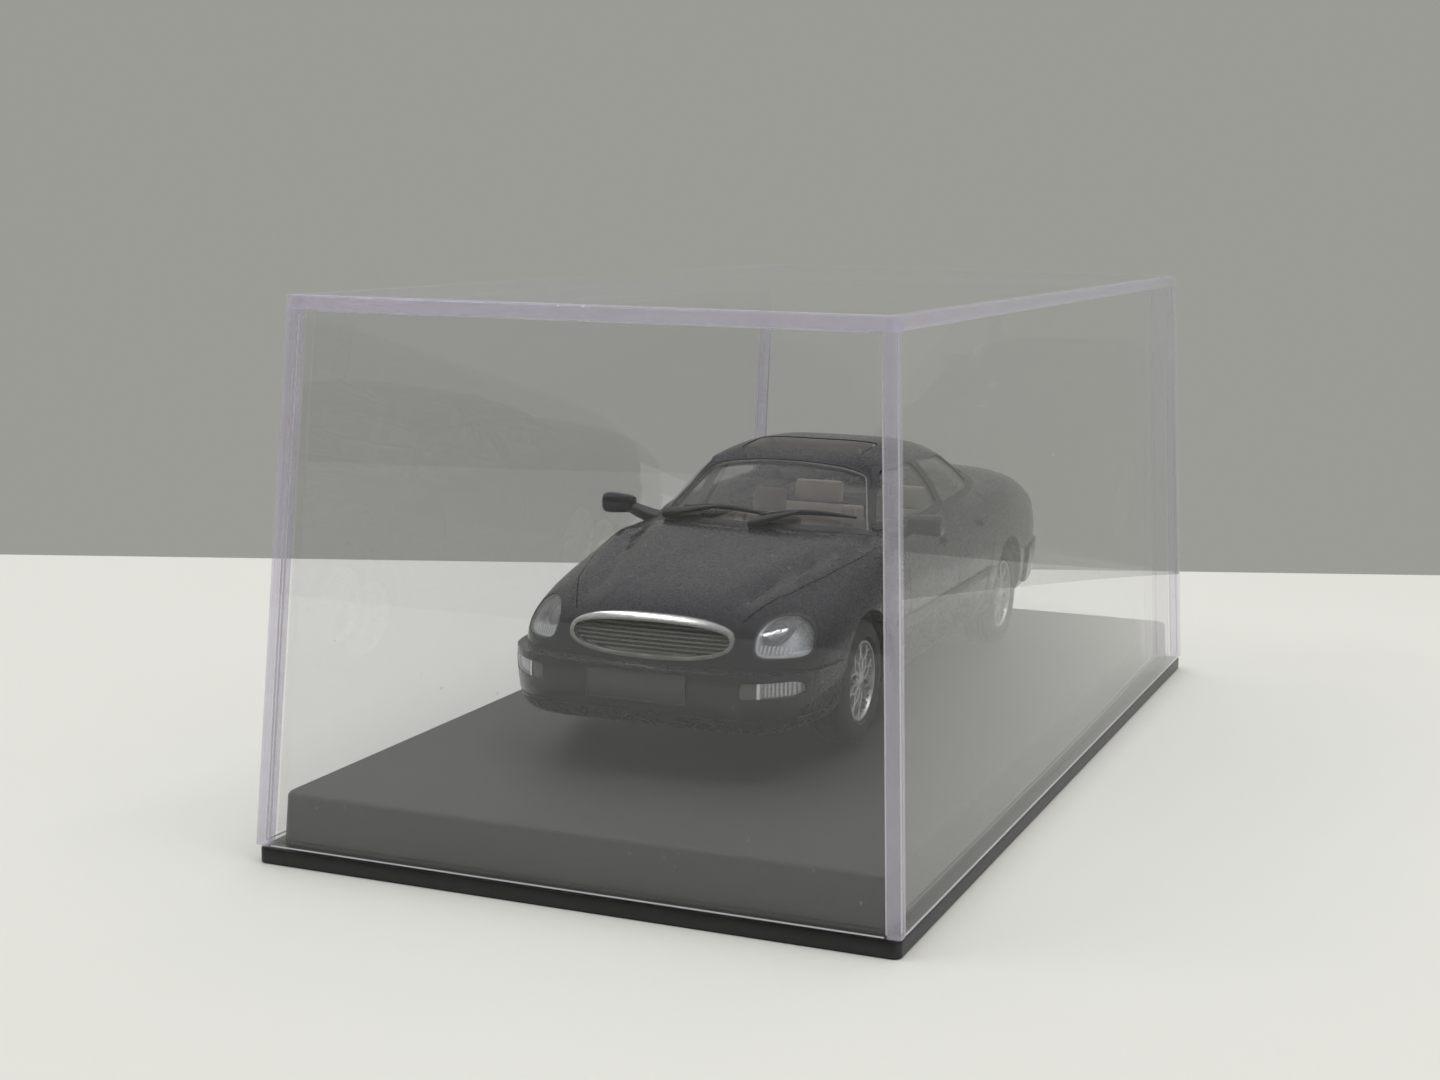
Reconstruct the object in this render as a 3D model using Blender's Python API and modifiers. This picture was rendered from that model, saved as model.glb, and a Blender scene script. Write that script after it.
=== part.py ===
"""A 1:43 diecast saloon car, screwed to a hollow plinth under a clear lift-off display cover.

The frame: origin at the bottom centre of the plinth, +Z up. The car's nose points to -Y and its
left side to +X. Blender's unit is the metre; every size below is in millimetres and is multiplied
by MM in one place, where a mesh is made.
"""
import bpy
import bmesh
from math import atan2, cos, pi, sin
from mathutils import Matrix, Vector

MM = 0.001

# ---- Display case -------------------------------------------------------------------------
CASE_WIDTH = 75.1             # cover at its open bottom edge, across
CASE_LENGTH = 148.4           # cover at its open bottom edge, along
COVER_HEIGHT = 60.9
COVER_WALL = 1.6
COVER_DRAFT = 3.15            # how far each wall leans in over the cover's height
COVER_CORNER = 0.9            # outer corner radius
COVER_FIT = 0.3               # clearance from the cover's wall to the platform, each side
REST_GAP = 0.2                # cover's bottom edge to the flange
FLANGE_THICKNESS = 1.8
FLANGE_INSET = 0.2            # flange edge inside the cover's outer edge
PLATFORM_HEIGHT = 6.0
PLATFORM_CORNER = 1.6
PLINTH_WALL = 1.8
BOSS_RADIUS = 3.2             # screw bosses under the platform
SPACER_RADIUS = 2.4
PLINTH_SCREW_RADIUS = 1.0
PLINTH_SCREW_HEAD_RADIUS = 2.2
PLINTH_SCREW_HEAD_HEIGHT = 1.1
SCREW_CLEARANCE = 0.15
WHEEL_LIFT = 1.2              # the spacers hold the tyres this far off the platform

# ---- Car ----------------------------------------------------------------------------------
CAR_LENGTH = 112.2
CAR_WIDTH = 40.9
CAR_HEIGHT = 32.3
CAR_X = -2.0                  # car's centre line from the case's centre
CAR_Y = 8.0                   # middle of the car's length from the case's centre
BODY_WALL = 1.2
CABIN_WALL = 0.8
GLAZING_GAP = 0.35            # glazing to the cabin's inner skin
GLAZING_THICKNESS = 0.5
TRIM_GAP = 0.1                # small trim to the piece that it sits in or on
TYRE_RADIUS = 7.53
TYRE_WIDTH = 4.8
RIM_RADIUS = 4.95
RIM_SPOKES = 8
WHEEL_INSET = 1.0             # tyre's outer wall inside the body side
AXLE_RADIUS = 0.8
RUNNING_CLEARANCE = 0.1       # axle to its bearing holes, on the radius
HUB_CLEARANCE = 0.05          # axle end to the rim's bore, on the radius
HUB_FACE = 1.35               # bottom of the hub's bore, behind the rim's outer lip
ARCH_CLEARANCE = 1.15         # wheel arch radius beyond the tyre
TUB_CLEARANCE = 1.5           # wheel tub radius beyond the tyre
TUB_WALL = 0.7
FLOOR_INSET = 2.8             # opening under the body, inside its widest outline
FLOOR_FRONT_MARGIN = 1.5      # further set back of the floor opening at the nose
FLOOR_REAR_MARGIN = 5.0       # and at the tail, where the bumper's underside rises
FLOOR_BOTTOM = 4.9            # chassis plate, above the tyres' lowest point
FLOOR_THICKNESS = 1.1
SCREW_BOSS_RADIUS = 2.6       # bosses on the chassis over the plinth screws
SCREW_BOSS_HEIGHT = 1.2
TUB_HALF_WIDTH = 16.0         # cabin tub, outside its door cards
TUB_GAP = 0.5                 # chassis plate to the cabin tub's floor
BODY_SCREW_RADIUS = 0.7
BODY_POST_RADIUS = 1.9

# ---- The body's profile -------------------------------------------------------------------
# Stations run from 0 at the nose to DESIGN_LENGTH at the tail; x is measured from the centre
# line and h from the tyres' lowest point. The three stretches fit them to the car's own size.
DESIGN_LENGTH = 112.2
DESIGN_WIDTH = 40.9
DESIGN_HEIGHT = 32.3
FRONT_AXLE = 21.0
REAR_AXLE = 85.4
HALF_WIDTH = [(0, 9.0), (0.5, 11.8), (1.2, 13.6), (2.2, 15.2), (3.4, 16.5), (5, 17.8), (7, 18.8),
              (10, 19.5), (15, 20.0), (30, 20.3), (55, 20.45), (85, 20.25), (98, 19.7),
              (105, 18.7), (108.5, 17.6), (110.6, 16.0), (111.6, 14.2), (112.2, 11.0)]
TOP = [(0, 12.0), (0.6, 13.4), (1.4, 15.2), (2.4, 16.9), (3.6, 18.0), (5.5, 18.9), (9, 19.9),
       (15, 21.2), (22, 22.3), (31, 23.3), (40, 23.7), (60, 24.1), (84, 25.0), (92, 25.1),
       (100, 24.6), (105, 23.8), (108, 22.7), (110, 20.9), (111.3, 18.3), (112.2, 14.6)]
BOTTOM = [(0, 8.2), (0.6, 6.6), (1.4, 5.5), (2.6, 4.8), (4.5, 4.5), (12, 4.5), (55, 4.7),
          (100, 5.2), (107, 5.6), (110, 6.3), (111.4, 7.4), (112.2, 9.0)]
SHOULDER = [(0, 2.6), (5, 2.9), (12, 3.6), (24, 5.0), (36, 7.0), (82, 7.0), (96, 5.5),
            (106, 4.0), (112.2, 3.0)]
SILL_ROUNDNESS = 9.0
CROWN = 0.7                   # bonnet and boot fall this far towards the wings
TUMBLE = 0.045                # side leans in by this share towards the belt line
TURN_UNDER = 0.055
BUMPER_REACH = 2.5            # front bumper stands this far ahead of the grille
BUMPER_TOP = 12.0
BUMPER_END = 12.0             # rearmost station of the front bumper
BELLY = 0.45                  # widest level, as a share of the lower body's height
THINNEST = 0.3                # least half height of an inset section at the nose and tail

ROOF = [(20, 18.4), (27, 20.5), (31.5, 23.2), (38, 27.1), (43, 29.7), (46, 30.9), (50, 31.75),
        (58, 32.3), (66, 32.05), (71, 31.4), (76, 29.9), (82, 27.5), (88.5, 24.9), (95, 21.6),
        (99, 20.2)]
CABIN_HALF_WIDTH = [(27, 18.6), (40, 19.5), (60, 19.75), (80, 19.3), (95, 18.0)]
CABIN_START = 27.0
CABIN_END = 95.0
CABIN_BASE = 19.5
CABIN_LEAN = 0.31             # cabin side leans in by this share at roof height
CABIN_ROUNDNESS = 4.6
SCREEN_SWEEP = 4.6            # windscreen base curves back this far at its ends
SCREEN_HALF_WIDTH = 15.0
REAR_SWEEP = 3.0
WINDOW_FLOOR = 22.3           # lowest level of the glazing

COVER_BASE = FLANGE_THICKNESS + REST_GAP
PLATFORM_TOP = FLANGE_THICKNESS + PLATFORM_HEIGHT
ROAD = PLATFORM_TOP + WHEEL_LIFT
STRETCH = CAR_LENGTH / DESIGN_LENGTH
WIDEN = CAR_WIDTH / DESIGN_WIDTH
RAISE = CAR_HEIGHT / DESIGN_HEIGHT
WHEEL_X = CAR_WIDTH / 2 - WHEEL_INSET - TYRE_WIDTH / 2


# ---- Blender helpers ----------------------------------------------------------------------
def clear_scene():
    for obj in list(bpy.data.objects):
        bpy.data.objects.remove(obj, do_unlink=True)


def make_collection(name):
    collection = bpy.data.collections.new(name)
    bpy.context.scene.collection.children.link(collection)
    return collection


def make_material(name, color, roughness, metallic=0.0, alpha=1.0):
    material = bpy.data.materials.new(name)
    material.use_nodes = True
    shader = material.node_tree.nodes["Principled BSDF"]
    shader.inputs["Base Color"].default_value = (*color, 1.0)
    shader.inputs["Roughness"].default_value = roughness
    shader.inputs["Metallic"].default_value = metallic
    shader.inputs["Alpha"].default_value = alpha
    material.diffuse_color = (*color, alpha)
    return material


def object_from(bm, name):
    """Turn a bmesh in millimetres into an object in metres, with its faces pointing out."""
    bmesh.ops.scale(bm, vec=(MM, MM, MM), verts=bm.verts)
    bmesh.ops.recalc_face_normals(bm, faces=bm.faces)
    mesh = bpy.data.meshes.new(name)
    bm.to_mesh(mesh)
    bm.free()
    obj = bpy.data.objects.new(name, mesh)
    bpy.context.scene.collection.objects.link(obj)
    return obj


def bake_modifiers(obj):
    """Replace an object's mesh by its evaluated mesh and drop the modifiers."""
    graph = bpy.context.evaluated_depsgraph_get()
    mesh = bpy.data.meshes.new_from_object(obj.evaluated_get(graph))
    old = obj.data
    obj.modifiers.clear()
    obj.data = mesh
    if old.users == 0:
        bpy.data.meshes.remove(old)


def combine(obj, tools, operation):
    """Apply a Boolean with each tool in turn, then remove the tools."""
    for tool in tools:
        modifier = obj.modifiers.new("combine", 'BOOLEAN')
        modifier.operation = operation
        modifier.solver = 'EXACT'
        modifier.object = tool
        bake_modifiers(obj)
        bpy.data.objects.remove(tool, do_unlink=True)
    return obj


def cut(obj, *tools):
    return combine(obj, tools, 'DIFFERENCE')


def join(obj, *tools):
    return combine(obj, tools, 'UNION')


def common(obj, *tools):
    return combine(obj, tools, 'INTERSECT')


def round_edges(obj, width, segments=2, angle=0.6):
    modifier = obj.modifiers.new("edges", 'BEVEL')
    modifier.width = width * MM
    modifier.segments = segments
    modifier.limit_method = 'ANGLE'
    modifier.angle_limit = angle
    bake_modifiers(obj)
    return obj


def finish(obj, name, material, collection, smooth_angle=0.6):
    """Name a node, give it its material and shading, and file it with the car's parts."""
    obj.name = name
    obj.data.name = name
    obj.data.materials.clear()
    obj.data.materials.append(material)
    obj.data.shade_smooth()
    obj.data.set_sharp_from_angle(angle=smooth_angle)
    for owner in list(obj.users_collection):
        owner.objects.unlink(obj)
    collection.objects.link(obj)
    return obj


def mirror_copy(obj):
    """The same piece for the car's right side."""
    twin = bpy.data.objects.new(obj.name, obj.data.copy())
    bpy.context.scene.collection.objects.link(twin)
    flip = Matrix.Translation((2 * CAR_X * MM, 0, 0)) @ Matrix.Scale(-1, 4, (1, 0, 0))
    twin.data.transform(flip)
    twin.data.flip_normals()
    return twin


# ---- Solids -------------------------------------------------------------------------------
def loft(rings, name="loft"):
    """Skin closed rings of equal length, each a list of points, and cap both ends."""
    bm = bmesh.new()
    loops = [[bm.verts.new(point) for point in ring] for ring in rings]
    count = len(loops[0])
    for near, far in zip(loops, loops[1:]):
        for i in range(count):
            j = (i + 1) % count
            bm.faces.new((near[i], near[j], far[j], far[i]))
    bm.faces.new(loops[0])
    bm.faces.new(list(reversed(loops[-1])))
    return object_from(bm, name)


def rounded_rectangle(half_x, half_y, radius, steps=2):
    """Outline points of a rectangle with round corners, anticlockwise."""
    points = []
    for corner in range(4):
        sign_x = 1 if corner in (0, 3) else -1
        sign_y = 1 if corner in (0, 1) else -1
        for step in range(steps + 1):
            angle = (corner + step / steps) * pi / 2
            points.append((sign_x * (half_x - radius) + radius * cos(angle),
                           sign_y * (half_y - radius) + radius * sin(angle)))
    return points


def drafted_block(half_x, half_y, low, high, draft, radius, name="block"):
    """An upright block with round corners, whose walls lean in by draft over its height."""
    rings = []
    for level, inset in ((low, 0.0), (high, draft)):
        outline = rounded_rectangle(half_x - inset, half_y - inset, radius)
        rings.append([(x, y, level) for x, y in outline])
    return loft(rings, name)


def box(low, high, name="box"):
    """A box between two corners."""
    bm = bmesh.new()
    bmesh.ops.create_cube(bm, size=1.0)
    for vertex in bm.verts:
        vertex.co = [a + (b - a) * (c + 0.5) for a, b, c in zip(low, high, vertex.co)]
    return object_from(bm, name)


def cylinder(start, end, radius, segments=24, end_radius=None, name="cylinder"):
    """A cylinder or cone between two points."""
    start = Vector(start)
    end = Vector(end)
    direction = end - start
    bm = bmesh.new()
    bmesh.ops.create_cone(bm, cap_ends=True, segments=segments, radius1=radius,
                          radius2=radius if end_radius is None else end_radius,
                          depth=direction.length)
    turn = Vector((0, 0, 1)).rotation_difference(direction).to_matrix().to_4x4()
    place = Matrix.Translation((start + end) / 2) @ turn
    bmesh.ops.transform(bm, matrix=place, verts=bm.verts)
    return object_from(bm, name)


def extrusion(outline, place, low, high, name="prism"):
    """Extrude a 2D outline from low to high; place(u, v, w) gives the 3D point."""
    return loft([[place(u, v, w) for u, v in outline] for w in (low, high)], name)


def turned(profile, centre, segments, name="turned"):
    """A body turned about an X axis through centre, from closed (x, radius) points."""
    bm = bmesh.new()
    points = [bm.verts.new((0.0, radius * MM, x * MM)) for x, radius in profile]
    for i, point in enumerate(points):
        bm.edges.new((point, points[(i + 1) % len(points)]))
    mesh = bpy.data.meshes.new(name)
    bm.to_mesh(mesh)
    bm.free()
    obj = bpy.data.objects.new(name, mesh)
    bpy.context.scene.collection.objects.link(obj)
    screw = obj.modifiers.new("turn", 'SCREW')
    screw.axis = 'Z'
    screw.steps = segments
    screw.render_steps = segments
    screw.use_merge_vertices = True
    screw.merge_threshold = 0.000001
    bake_modifiers(obj)
    turn = Matrix.Rotation(pi / 2, 4, 'Y')
    obj.data.transform(Matrix.Translation(Vector(centre) * MM) @ turn)
    bm = bmesh.new()
    bm.from_mesh(obj.data)
    bmesh.ops.recalc_face_normals(bm, faces=bm.faces)
    bm.to_mesh(obj.data)
    bm.free()
    return obj


# ---- The car's own frame ------------------------------------------------------------------
def along(station):
    return CAR_Y + (station - DESIGN_LENGTH / 2) * STRETCH


def car(x, station, h):
    """World point, in millimetres, of a point in the body's profile frame."""
    return (CAR_X + x * WIDEN, along(station), ROAD + h * RAISE)


def from_side(station, h, x):
    return car(x, station, h)


def from_above(x, station, h):
    return car(x, station, h)


def from_front(x, h, station):
    return car(x, station, h)


def car_box(low, high):
    return box(car(*low), car(*high))


def smooth(knots, s):
    """Value at s of a curve through the knots that never overshoots them."""
    if s <= knots[0][0]:
        return knots[0][1]
    if s >= knots[-1][0]:
        return knots[-1][1]
    slopes = [(b[1] - a[1]) / (b[0] - a[0]) for a, b in zip(knots, knots[1:])]
    tangents = [slopes[0]]
    for left, right in zip(slopes, slopes[1:]):
        tangents.append(0.0 if left * right <= 0 else 2 * left * right / (left + right))
    tangents.append(slopes[-1])
    i = max(k for k in range(len(knots) - 1) if knots[k][0] <= s)
    span = knots[i + 1][0] - knots[i][0]
    t = (s - knots[i][0]) / span
    return ((2 * t**3 - 3 * t**2 + 1) * knots[i][1] + (t**3 - 2 * t**2 + t) * span * tangents[i]
            + (3 * t**2 - 2 * t**3) * knots[i + 1][1] + (t**3 - t**2) * span * tangents[i + 1])


def ramp(low, high, s):
    t = min(max((s - low) / (high - low), 0.0), 1.0)
    return t * t * (3 - 2 * t)


def corner_angles(count, aspect, spread=0.5):
    """Angles from 0 to a right angle, gathered towards the direction of the section's corner."""
    angles = []
    for i in range(count + 1):
        t = i / count
        gathered = atan2(aspect * sin(t * pi / 2), cos(t * pi / 2))
        angles.append((1 - spread) * t * pi / 2 + spread * gathered)
    return angles


def superellipse(half_x, half_h, power, angle):
    reach = (abs(cos(angle)) / half_x)**power + (abs(sin(angle)) / half_h)**power
    reach = reach**(-1 / power)
    return reach * cos(angle), reach * sin(angle)


def oval(half_x, half_h, power, steps):
    """Points of a flat superellipse, gathered where it turns most."""
    points = []
    for i in range(steps):
        across = cos(2 * pi * i / steps)
        up = sin(2 * pi * i / steps)
        points.append((half_x * abs(across)**(2 / power) * (1 if across > 0 else -1),
                       half_h * abs(up)**(2 / power) * (1 if up > 0 else -1)))
    return points


def lower_ring(s, inset, around):
    """Closed section of the lower body, drawn in by inset."""
    width = smooth(HALF_WIDTH, s) - inset
    middle = smooth(BOTTOM, s) + BELLY * (smooth(TOP, s) - smooth(BOTTOM, s))
    top = max(smooth(TOP, s) - inset, middle + THINNEST)
    bottom = min(smooth(BOTTOM, s) + inset, middle - THINNEST)
    crown = CROWN * ramp(2, 16, s)
    upper = []
    for angle in corner_angles(around, (top - middle) / width):
        x, rise = superellipse(width, top - middle, smooth(SHOULDER, s), angle)
        share = rise / (top - middle)
        x = x * (1 - TUMBLE * share**2)
        upper.append((x, middle + rise - crown * share * (x / width)**2))
    lower = []
    for angle in corner_angles(around, (middle - bottom) / width):
        x, drop = superellipse(width, middle - bottom, SILL_ROUNDNESS, angle)
        share = drop / (middle - bottom)
        lower.append((x * (1 - TURN_UNDER * share**2), middle - drop))
    right = list(reversed(lower))[:-1] + upper
    left = [(-x, h) for x, h in reversed(right[1:-1])]
    station = inset + s * (DESIGN_LENGTH - 2 * inset) / DESIGN_LENGTH
    return [car(x, station, h) for x, h in right + left]


def lower_stations(count):
    """Stations that crowd together at the nose and the tail."""
    stations = []
    for i in range(count + 1):
        t = i / count
        eased = t - 0.145 * sin(2 * pi * t)
        stations.append(DESIGN_LENGTH * (0.35 * t + 0.65 * (1 - cos(pi * eased)) / 2))
    return stations


def lower_body(inset=0.0, count=28, around=6):
    return loft([lower_ring(s, inset, around) for s in lower_stations(count)])


def bumper_form(inset=0.0, count=28, around=6):
    """The lower body brought forward; its nose is the front bumper's skin."""
    form = lower_body(inset, count, around)
    form.data.transform(Matrix.Translation((0, -BUMPER_REACH * STRETCH * MM, 0)))
    return form


def plan_outline(inset, count=12):
    """The lower body's plan, drawn in from its sides and ends, as (x, station) points."""
    first = inset + FLOOR_FRONT_MARGIN
    last = DESIGN_LENGTH - inset - FLOOR_REAR_MARGIN
    right = []
    for i in range(count + 1):
        station = first + (last - first) * (1 - cos(pi * i / count)) / 2
        right.append((smooth(HALF_WIDTH, station) - inset, station))
    return right + [(-x, station) for x, station in reversed(right)]


def roof_height(x, s, inset):
    """Height of the cabin's skin, with the windscreen and rear window swept in plan."""
    bend = (x / SCREEN_HALF_WIDTH)**2
    shift = SCREEN_SWEEP * bend * (1 - ramp(42, 56, s)) - REAR_SWEEP * bend * ramp(66, 78, s)
    return max(smooth(ROOF, s - shift) - inset, CABIN_BASE + 0.3)


def cabin_ring(s, inset, around):
    width = smooth(CABIN_HALF_WIDTH, s) - inset
    height = roof_height(0.0, s, inset) - CABIN_BASE
    arch = []
    for angle in corner_angles(around, height / width):
        x, rise = superellipse(width, height, CABIN_ROUNDNESS, angle)
        tall = CABIN_BASE + rise
        lean = 1 - CABIN_LEAN * (tall - CABIN_BASE) / (DESIGN_HEIGHT - CABIN_BASE)
        x = x * lean
        swept = (roof_height(x, s, inset) - CABIN_BASE) / height
        arch.append((x, CABIN_BASE + rise * swept))
    ring = arch + [(-x, h) for x, h in reversed(arch[:-1])]
    return [car(x, s, h) for x, h in ring]


def cabin(inset=0.0, count=17, around=5):
    step = (CABIN_END - CABIN_START) / count
    return loft([cabin_ring(CABIN_START + step * i, inset, around) for i in range(count + 1)])


def skin_patch(form, outline, place, low, high, outer, inner):
    """The part of a form's skin inside a straight prism, between two depths under the skin."""
    patch = common(form(outer), extrusion(outline, place, low, high))
    return cut(patch, form(inner))


def grown(outline, amount):
    """Move each point of an outline away from the outline's centre line by line."""
    points = [Vector(point) for point in outline]
    area = sum(a.x * b.y - b.x * a.y for a, b in zip(points, points[1:] + points[:1]))
    side = 1 if area > 0 else -1
    moved = []
    for i, point in enumerate(points):
        before = (point - points[i - 1]).normalized()
        after = (points[(i + 1) % len(points)] - point).normalized()
        normal = Vector((before.y + after.y, -before.x - after.x)).normalized()
        edge = Vector((before.y, -before.x))
        moved.append(tuple(point + normal * (side * amount / max(normal.dot(edge), 0.4))))
    return moved


def mirrored(outline):
    return [(-u, v) for u, v in outline]


# ---- Outlines shared by a hole and the piece that fills it ---------------------------------
def headlamp_outline(steps=18):
    """Dome with a nearly flat foot, leaning a little towards the grille."""
    points = []
    for dome, foot in zip(oval(2.95, 2.9, 2.1, steps), oval(2.95, 1.75, 4.0, steps)):
        x, h = dome if dome[1] >= 0 else foot
        points.append((15.2 + x - 0.13 * h, 14.85 + h))
    return points


def bumper_lamp_outline():
    return [(11.9, 9.05), (12.2, 8.8), (17.2, 8.9), (18.0, 9.4), (18.0, 10.5), (17.4, 10.8),
            (12.2, 10.65), (11.9, 10.4)]


def grille_outline(inset=0.0, steps=28):
    ring = oval(GRILLE_HALF_WIDTH - inset, GRILLE_HALF_HEIGHT - inset, GRILLE_POWER, steps)
    return [(x, GRILLE_LEVEL + h) for x, h in ring]


def windscreen_outline(steps=8):
    """Windscreen from above: bowed base, then the top edge back again."""
    base = []
    for i in range(steps + 1):
        x = -14.4 + 28.8 * i / steps
        base.append((x, 32.3 + SCREEN_SWEEP * (x / SCREEN_HALF_WIDTH)**2))
    crest = [(11.0, 45.6), (5.5, 45.3), (-5.5, 45.3), (-11.0, 45.6)]
    return base + crest


def rear_screen_outline(steps=6):
    base = []
    for i in range(steps + 1):
        x = 13.6 - 27.2 * i / steps
        base.append((x, 87.6 - REAR_SWEEP * (x / SCREEN_HALF_WIDTH)**2))
    crest = [(-11.0, 74.6), (0.0, 75.0), (11.0, 74.6)]
    return base + crest


GRILLE_HALF_WIDTH = 10.2
GRILLE_HALF_HEIGHT = 2.3
GRILLE_POWER = 2.5
GRILLE_LEVEL = 15.0
GRILLE_RING = 0.65            # width of the bright surround
GRILLE_BAR = 0.24             # bars between the slots
GRILLE_SLOTS = 5
SUNROOF = [(x, 53.6 + y) for x, y in rounded_rectangle(8.6, 4.3, 1.2, 2)]
FRONT_WINDOW = [(38.6, 24.0), (57.0, 24.4), (57.0, 30.0), (47.6, 29.7)]
REAR_WINDOW = [(59.0, 24.45), (73.4, 24.9), (75.2, 25.6), (70.6, 29.5), (59.0, 30.0)]
QUARTER_WINDOW = [(76.6, 25.3), (80.9, 25.9), (73.4, 29.4), (72.6, 29.0)]
TAIL_LAMP = [(4.6, 17.8), (18.8, 17.8), (18.8, 20.6), (4.6, 20.6)]
FRONT_PLATE = [(x, 9.6 + h) for x, h in rounded_rectangle(6.2, 1.7, 0.3, 1)]
REAR_PLATE = [(x, 14.4 + h) for x, h in rounded_rectangle(6.05, 1.45, 0.3, 1)]
PLINTH_SCREWS = {"front": 39.0, "rear": 69.0}
BODY_SCREWS = {"front": 13.5, "rear": 99.0}
LAMP_DEPTH = 10.0             # rearmost station that a front lamp reaches
TAIL_LAMP_START = 103.0       # foremost station that a tail lamp reaches
INDENT = 3.0                  # how far a prism reaches past the skin that it cuts


# ---- Case ---------------------------------------------------------------------------------
def build_cover():
    outer = drafted_block(CASE_WIDTH / 2, CASE_LENGTH / 2, COVER_BASE, COVER_BASE + COVER_HEIGHT,
                          COVER_DRAFT, COVER_CORNER)
    lean = COVER_DRAFT / COVER_HEIGHT
    below = 1.0
    inner_height = COVER_HEIGHT - COVER_WALL
    inner = drafted_block(CASE_WIDTH / 2 - COVER_WALL + lean * below,
                          CASE_LENGTH / 2 - COVER_WALL + lean * below,
                          COVER_BASE - below, COVER_BASE + inner_height,
                          lean * (inner_height + below), COVER_CORNER / 3)
    return cut(outer, inner)


def platform_half(size):
    """Half the platform's width or length where it rises from the flange."""
    return size / 2 - COVER_WALL - COVER_FIT


def build_plinth():
    lean = COVER_DRAFT / COVER_HEIGHT
    flange = drafted_block(CASE_WIDTH / 2 - FLANGE_INSET, CASE_LENGTH / 2 - FLANGE_INSET,
                           0.0, FLANGE_THICKNESS, 0.0, COVER_CORNER)
    platform = drafted_block(platform_half(CASE_WIDTH), platform_half(CASE_LENGTH),
                             FLANGE_THICKNESS / 2, PLATFORM_TOP, lean * PLATFORM_HEIGHT,
                             PLATFORM_CORNER)
    hollow = drafted_block(platform_half(CASE_WIDTH) - PLINTH_WALL,
                           platform_half(CASE_LENGTH) - PLINTH_WALL,
                           -1.0, PLATFORM_TOP - PLINTH_WALL, 0.6, PLATFORM_CORNER / 2)
    plinth = cut(join(flange, platform), hollow)
    foot = PLINTH_SCREW_HEAD_HEIGHT + 0.9
    for station in PLINTH_SCREWS.values():
        x, y, _ = car(0, station, 0)
        boss = cylinder((x, y, foot), (x, y, PLATFORM_TOP - PLINTH_WALL / 2), BOSS_RADIUS)
        join(plinth, boss)
        hole = cylinder((x, y, -1), (x, y, PLATFORM_TOP + 1), PLINTH_SCREW_RADIUS + SCREW_CLEARANCE)
        cut(plinth, hole)
    return plinth


def floor_level():
    return ROAD + FLOOR_BOTTOM * RAISE


def build_spacer(station):
    """Tube that holds the chassis above the platform, around the plinth screw."""
    x, y, _ = car(0, station, 0)
    low = PLATFORM_TOP + TRIM_GAP
    high = floor_level() - TRIM_GAP
    tube = cylinder((x, y, low), (x, y, high), SPACER_RADIUS)
    bore = cylinder((x, y, low - 1), (x, y, high + 1), PLINTH_SCREW_RADIUS + SCREW_CLEARANCE)
    return cut(tube, bore)


def build_screw(x, y, low, high, shank, head, head_height):
    """Pan-head screw standing on its head, with a crossed recess."""
    screw = cylinder((x, y, low + head_height / 2), (x, y, high), shank)
    pan = cylinder((x, y, low), (x, y, low + head_height), head * 0.9, end_radius=head)
    join(screw, pan)
    slot = 0.16 * head
    arm = 0.6 * head
    depth = 0.45 * head_height
    bar = box((x - arm, y - slot, low - 1), (x + arm, y + slot, low + depth))
    cross = join(bar, box((x - slot, y - arm, low - 1), (x + slot, y + arm, low + depth)))
    return cut(screw, cross)


def build_plinth_screw(station):
    x, y, _ = car(0, station, 0)
    low = 0.9 - TRIM_GAP
    high = floor_level() + FLOOR_THICKNESS * RAISE + SCREW_BOSS_HEIGHT - 0.6
    return build_screw(x, y, low, high, PLINTH_SCREW_RADIUS, PLINTH_SCREW_HEAD_RADIUS,
                       PLINTH_SCREW_HEAD_HEIGHT)


def build_body_screw(station):
    x, y, _ = car(0, station, 0)
    low = floor_level() - 0.7
    high = floor_level() + FLOOR_THICKNESS * RAISE + 3.0
    return build_screw(x, y, low, high, BODY_SCREW_RADIUS, 1.5, 0.6)


# ---- Body shell ---------------------------------------------------------------------------
def wheel_centres():
    """Name of each axle and the world y and z of its wheels' centres."""
    return {"front": (along(FRONT_AXLE), ROAD + TYRE_RADIUS),
            "rear": (along(REAR_AXLE), ROAD + TYRE_RADIUS)}


def through(y, z, radius, reach, segments=32):
    """A cylinder across the whole car."""
    return cylinder((CAR_X - reach, y, z), (CAR_X + reach, y, z), radius, segments)


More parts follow.
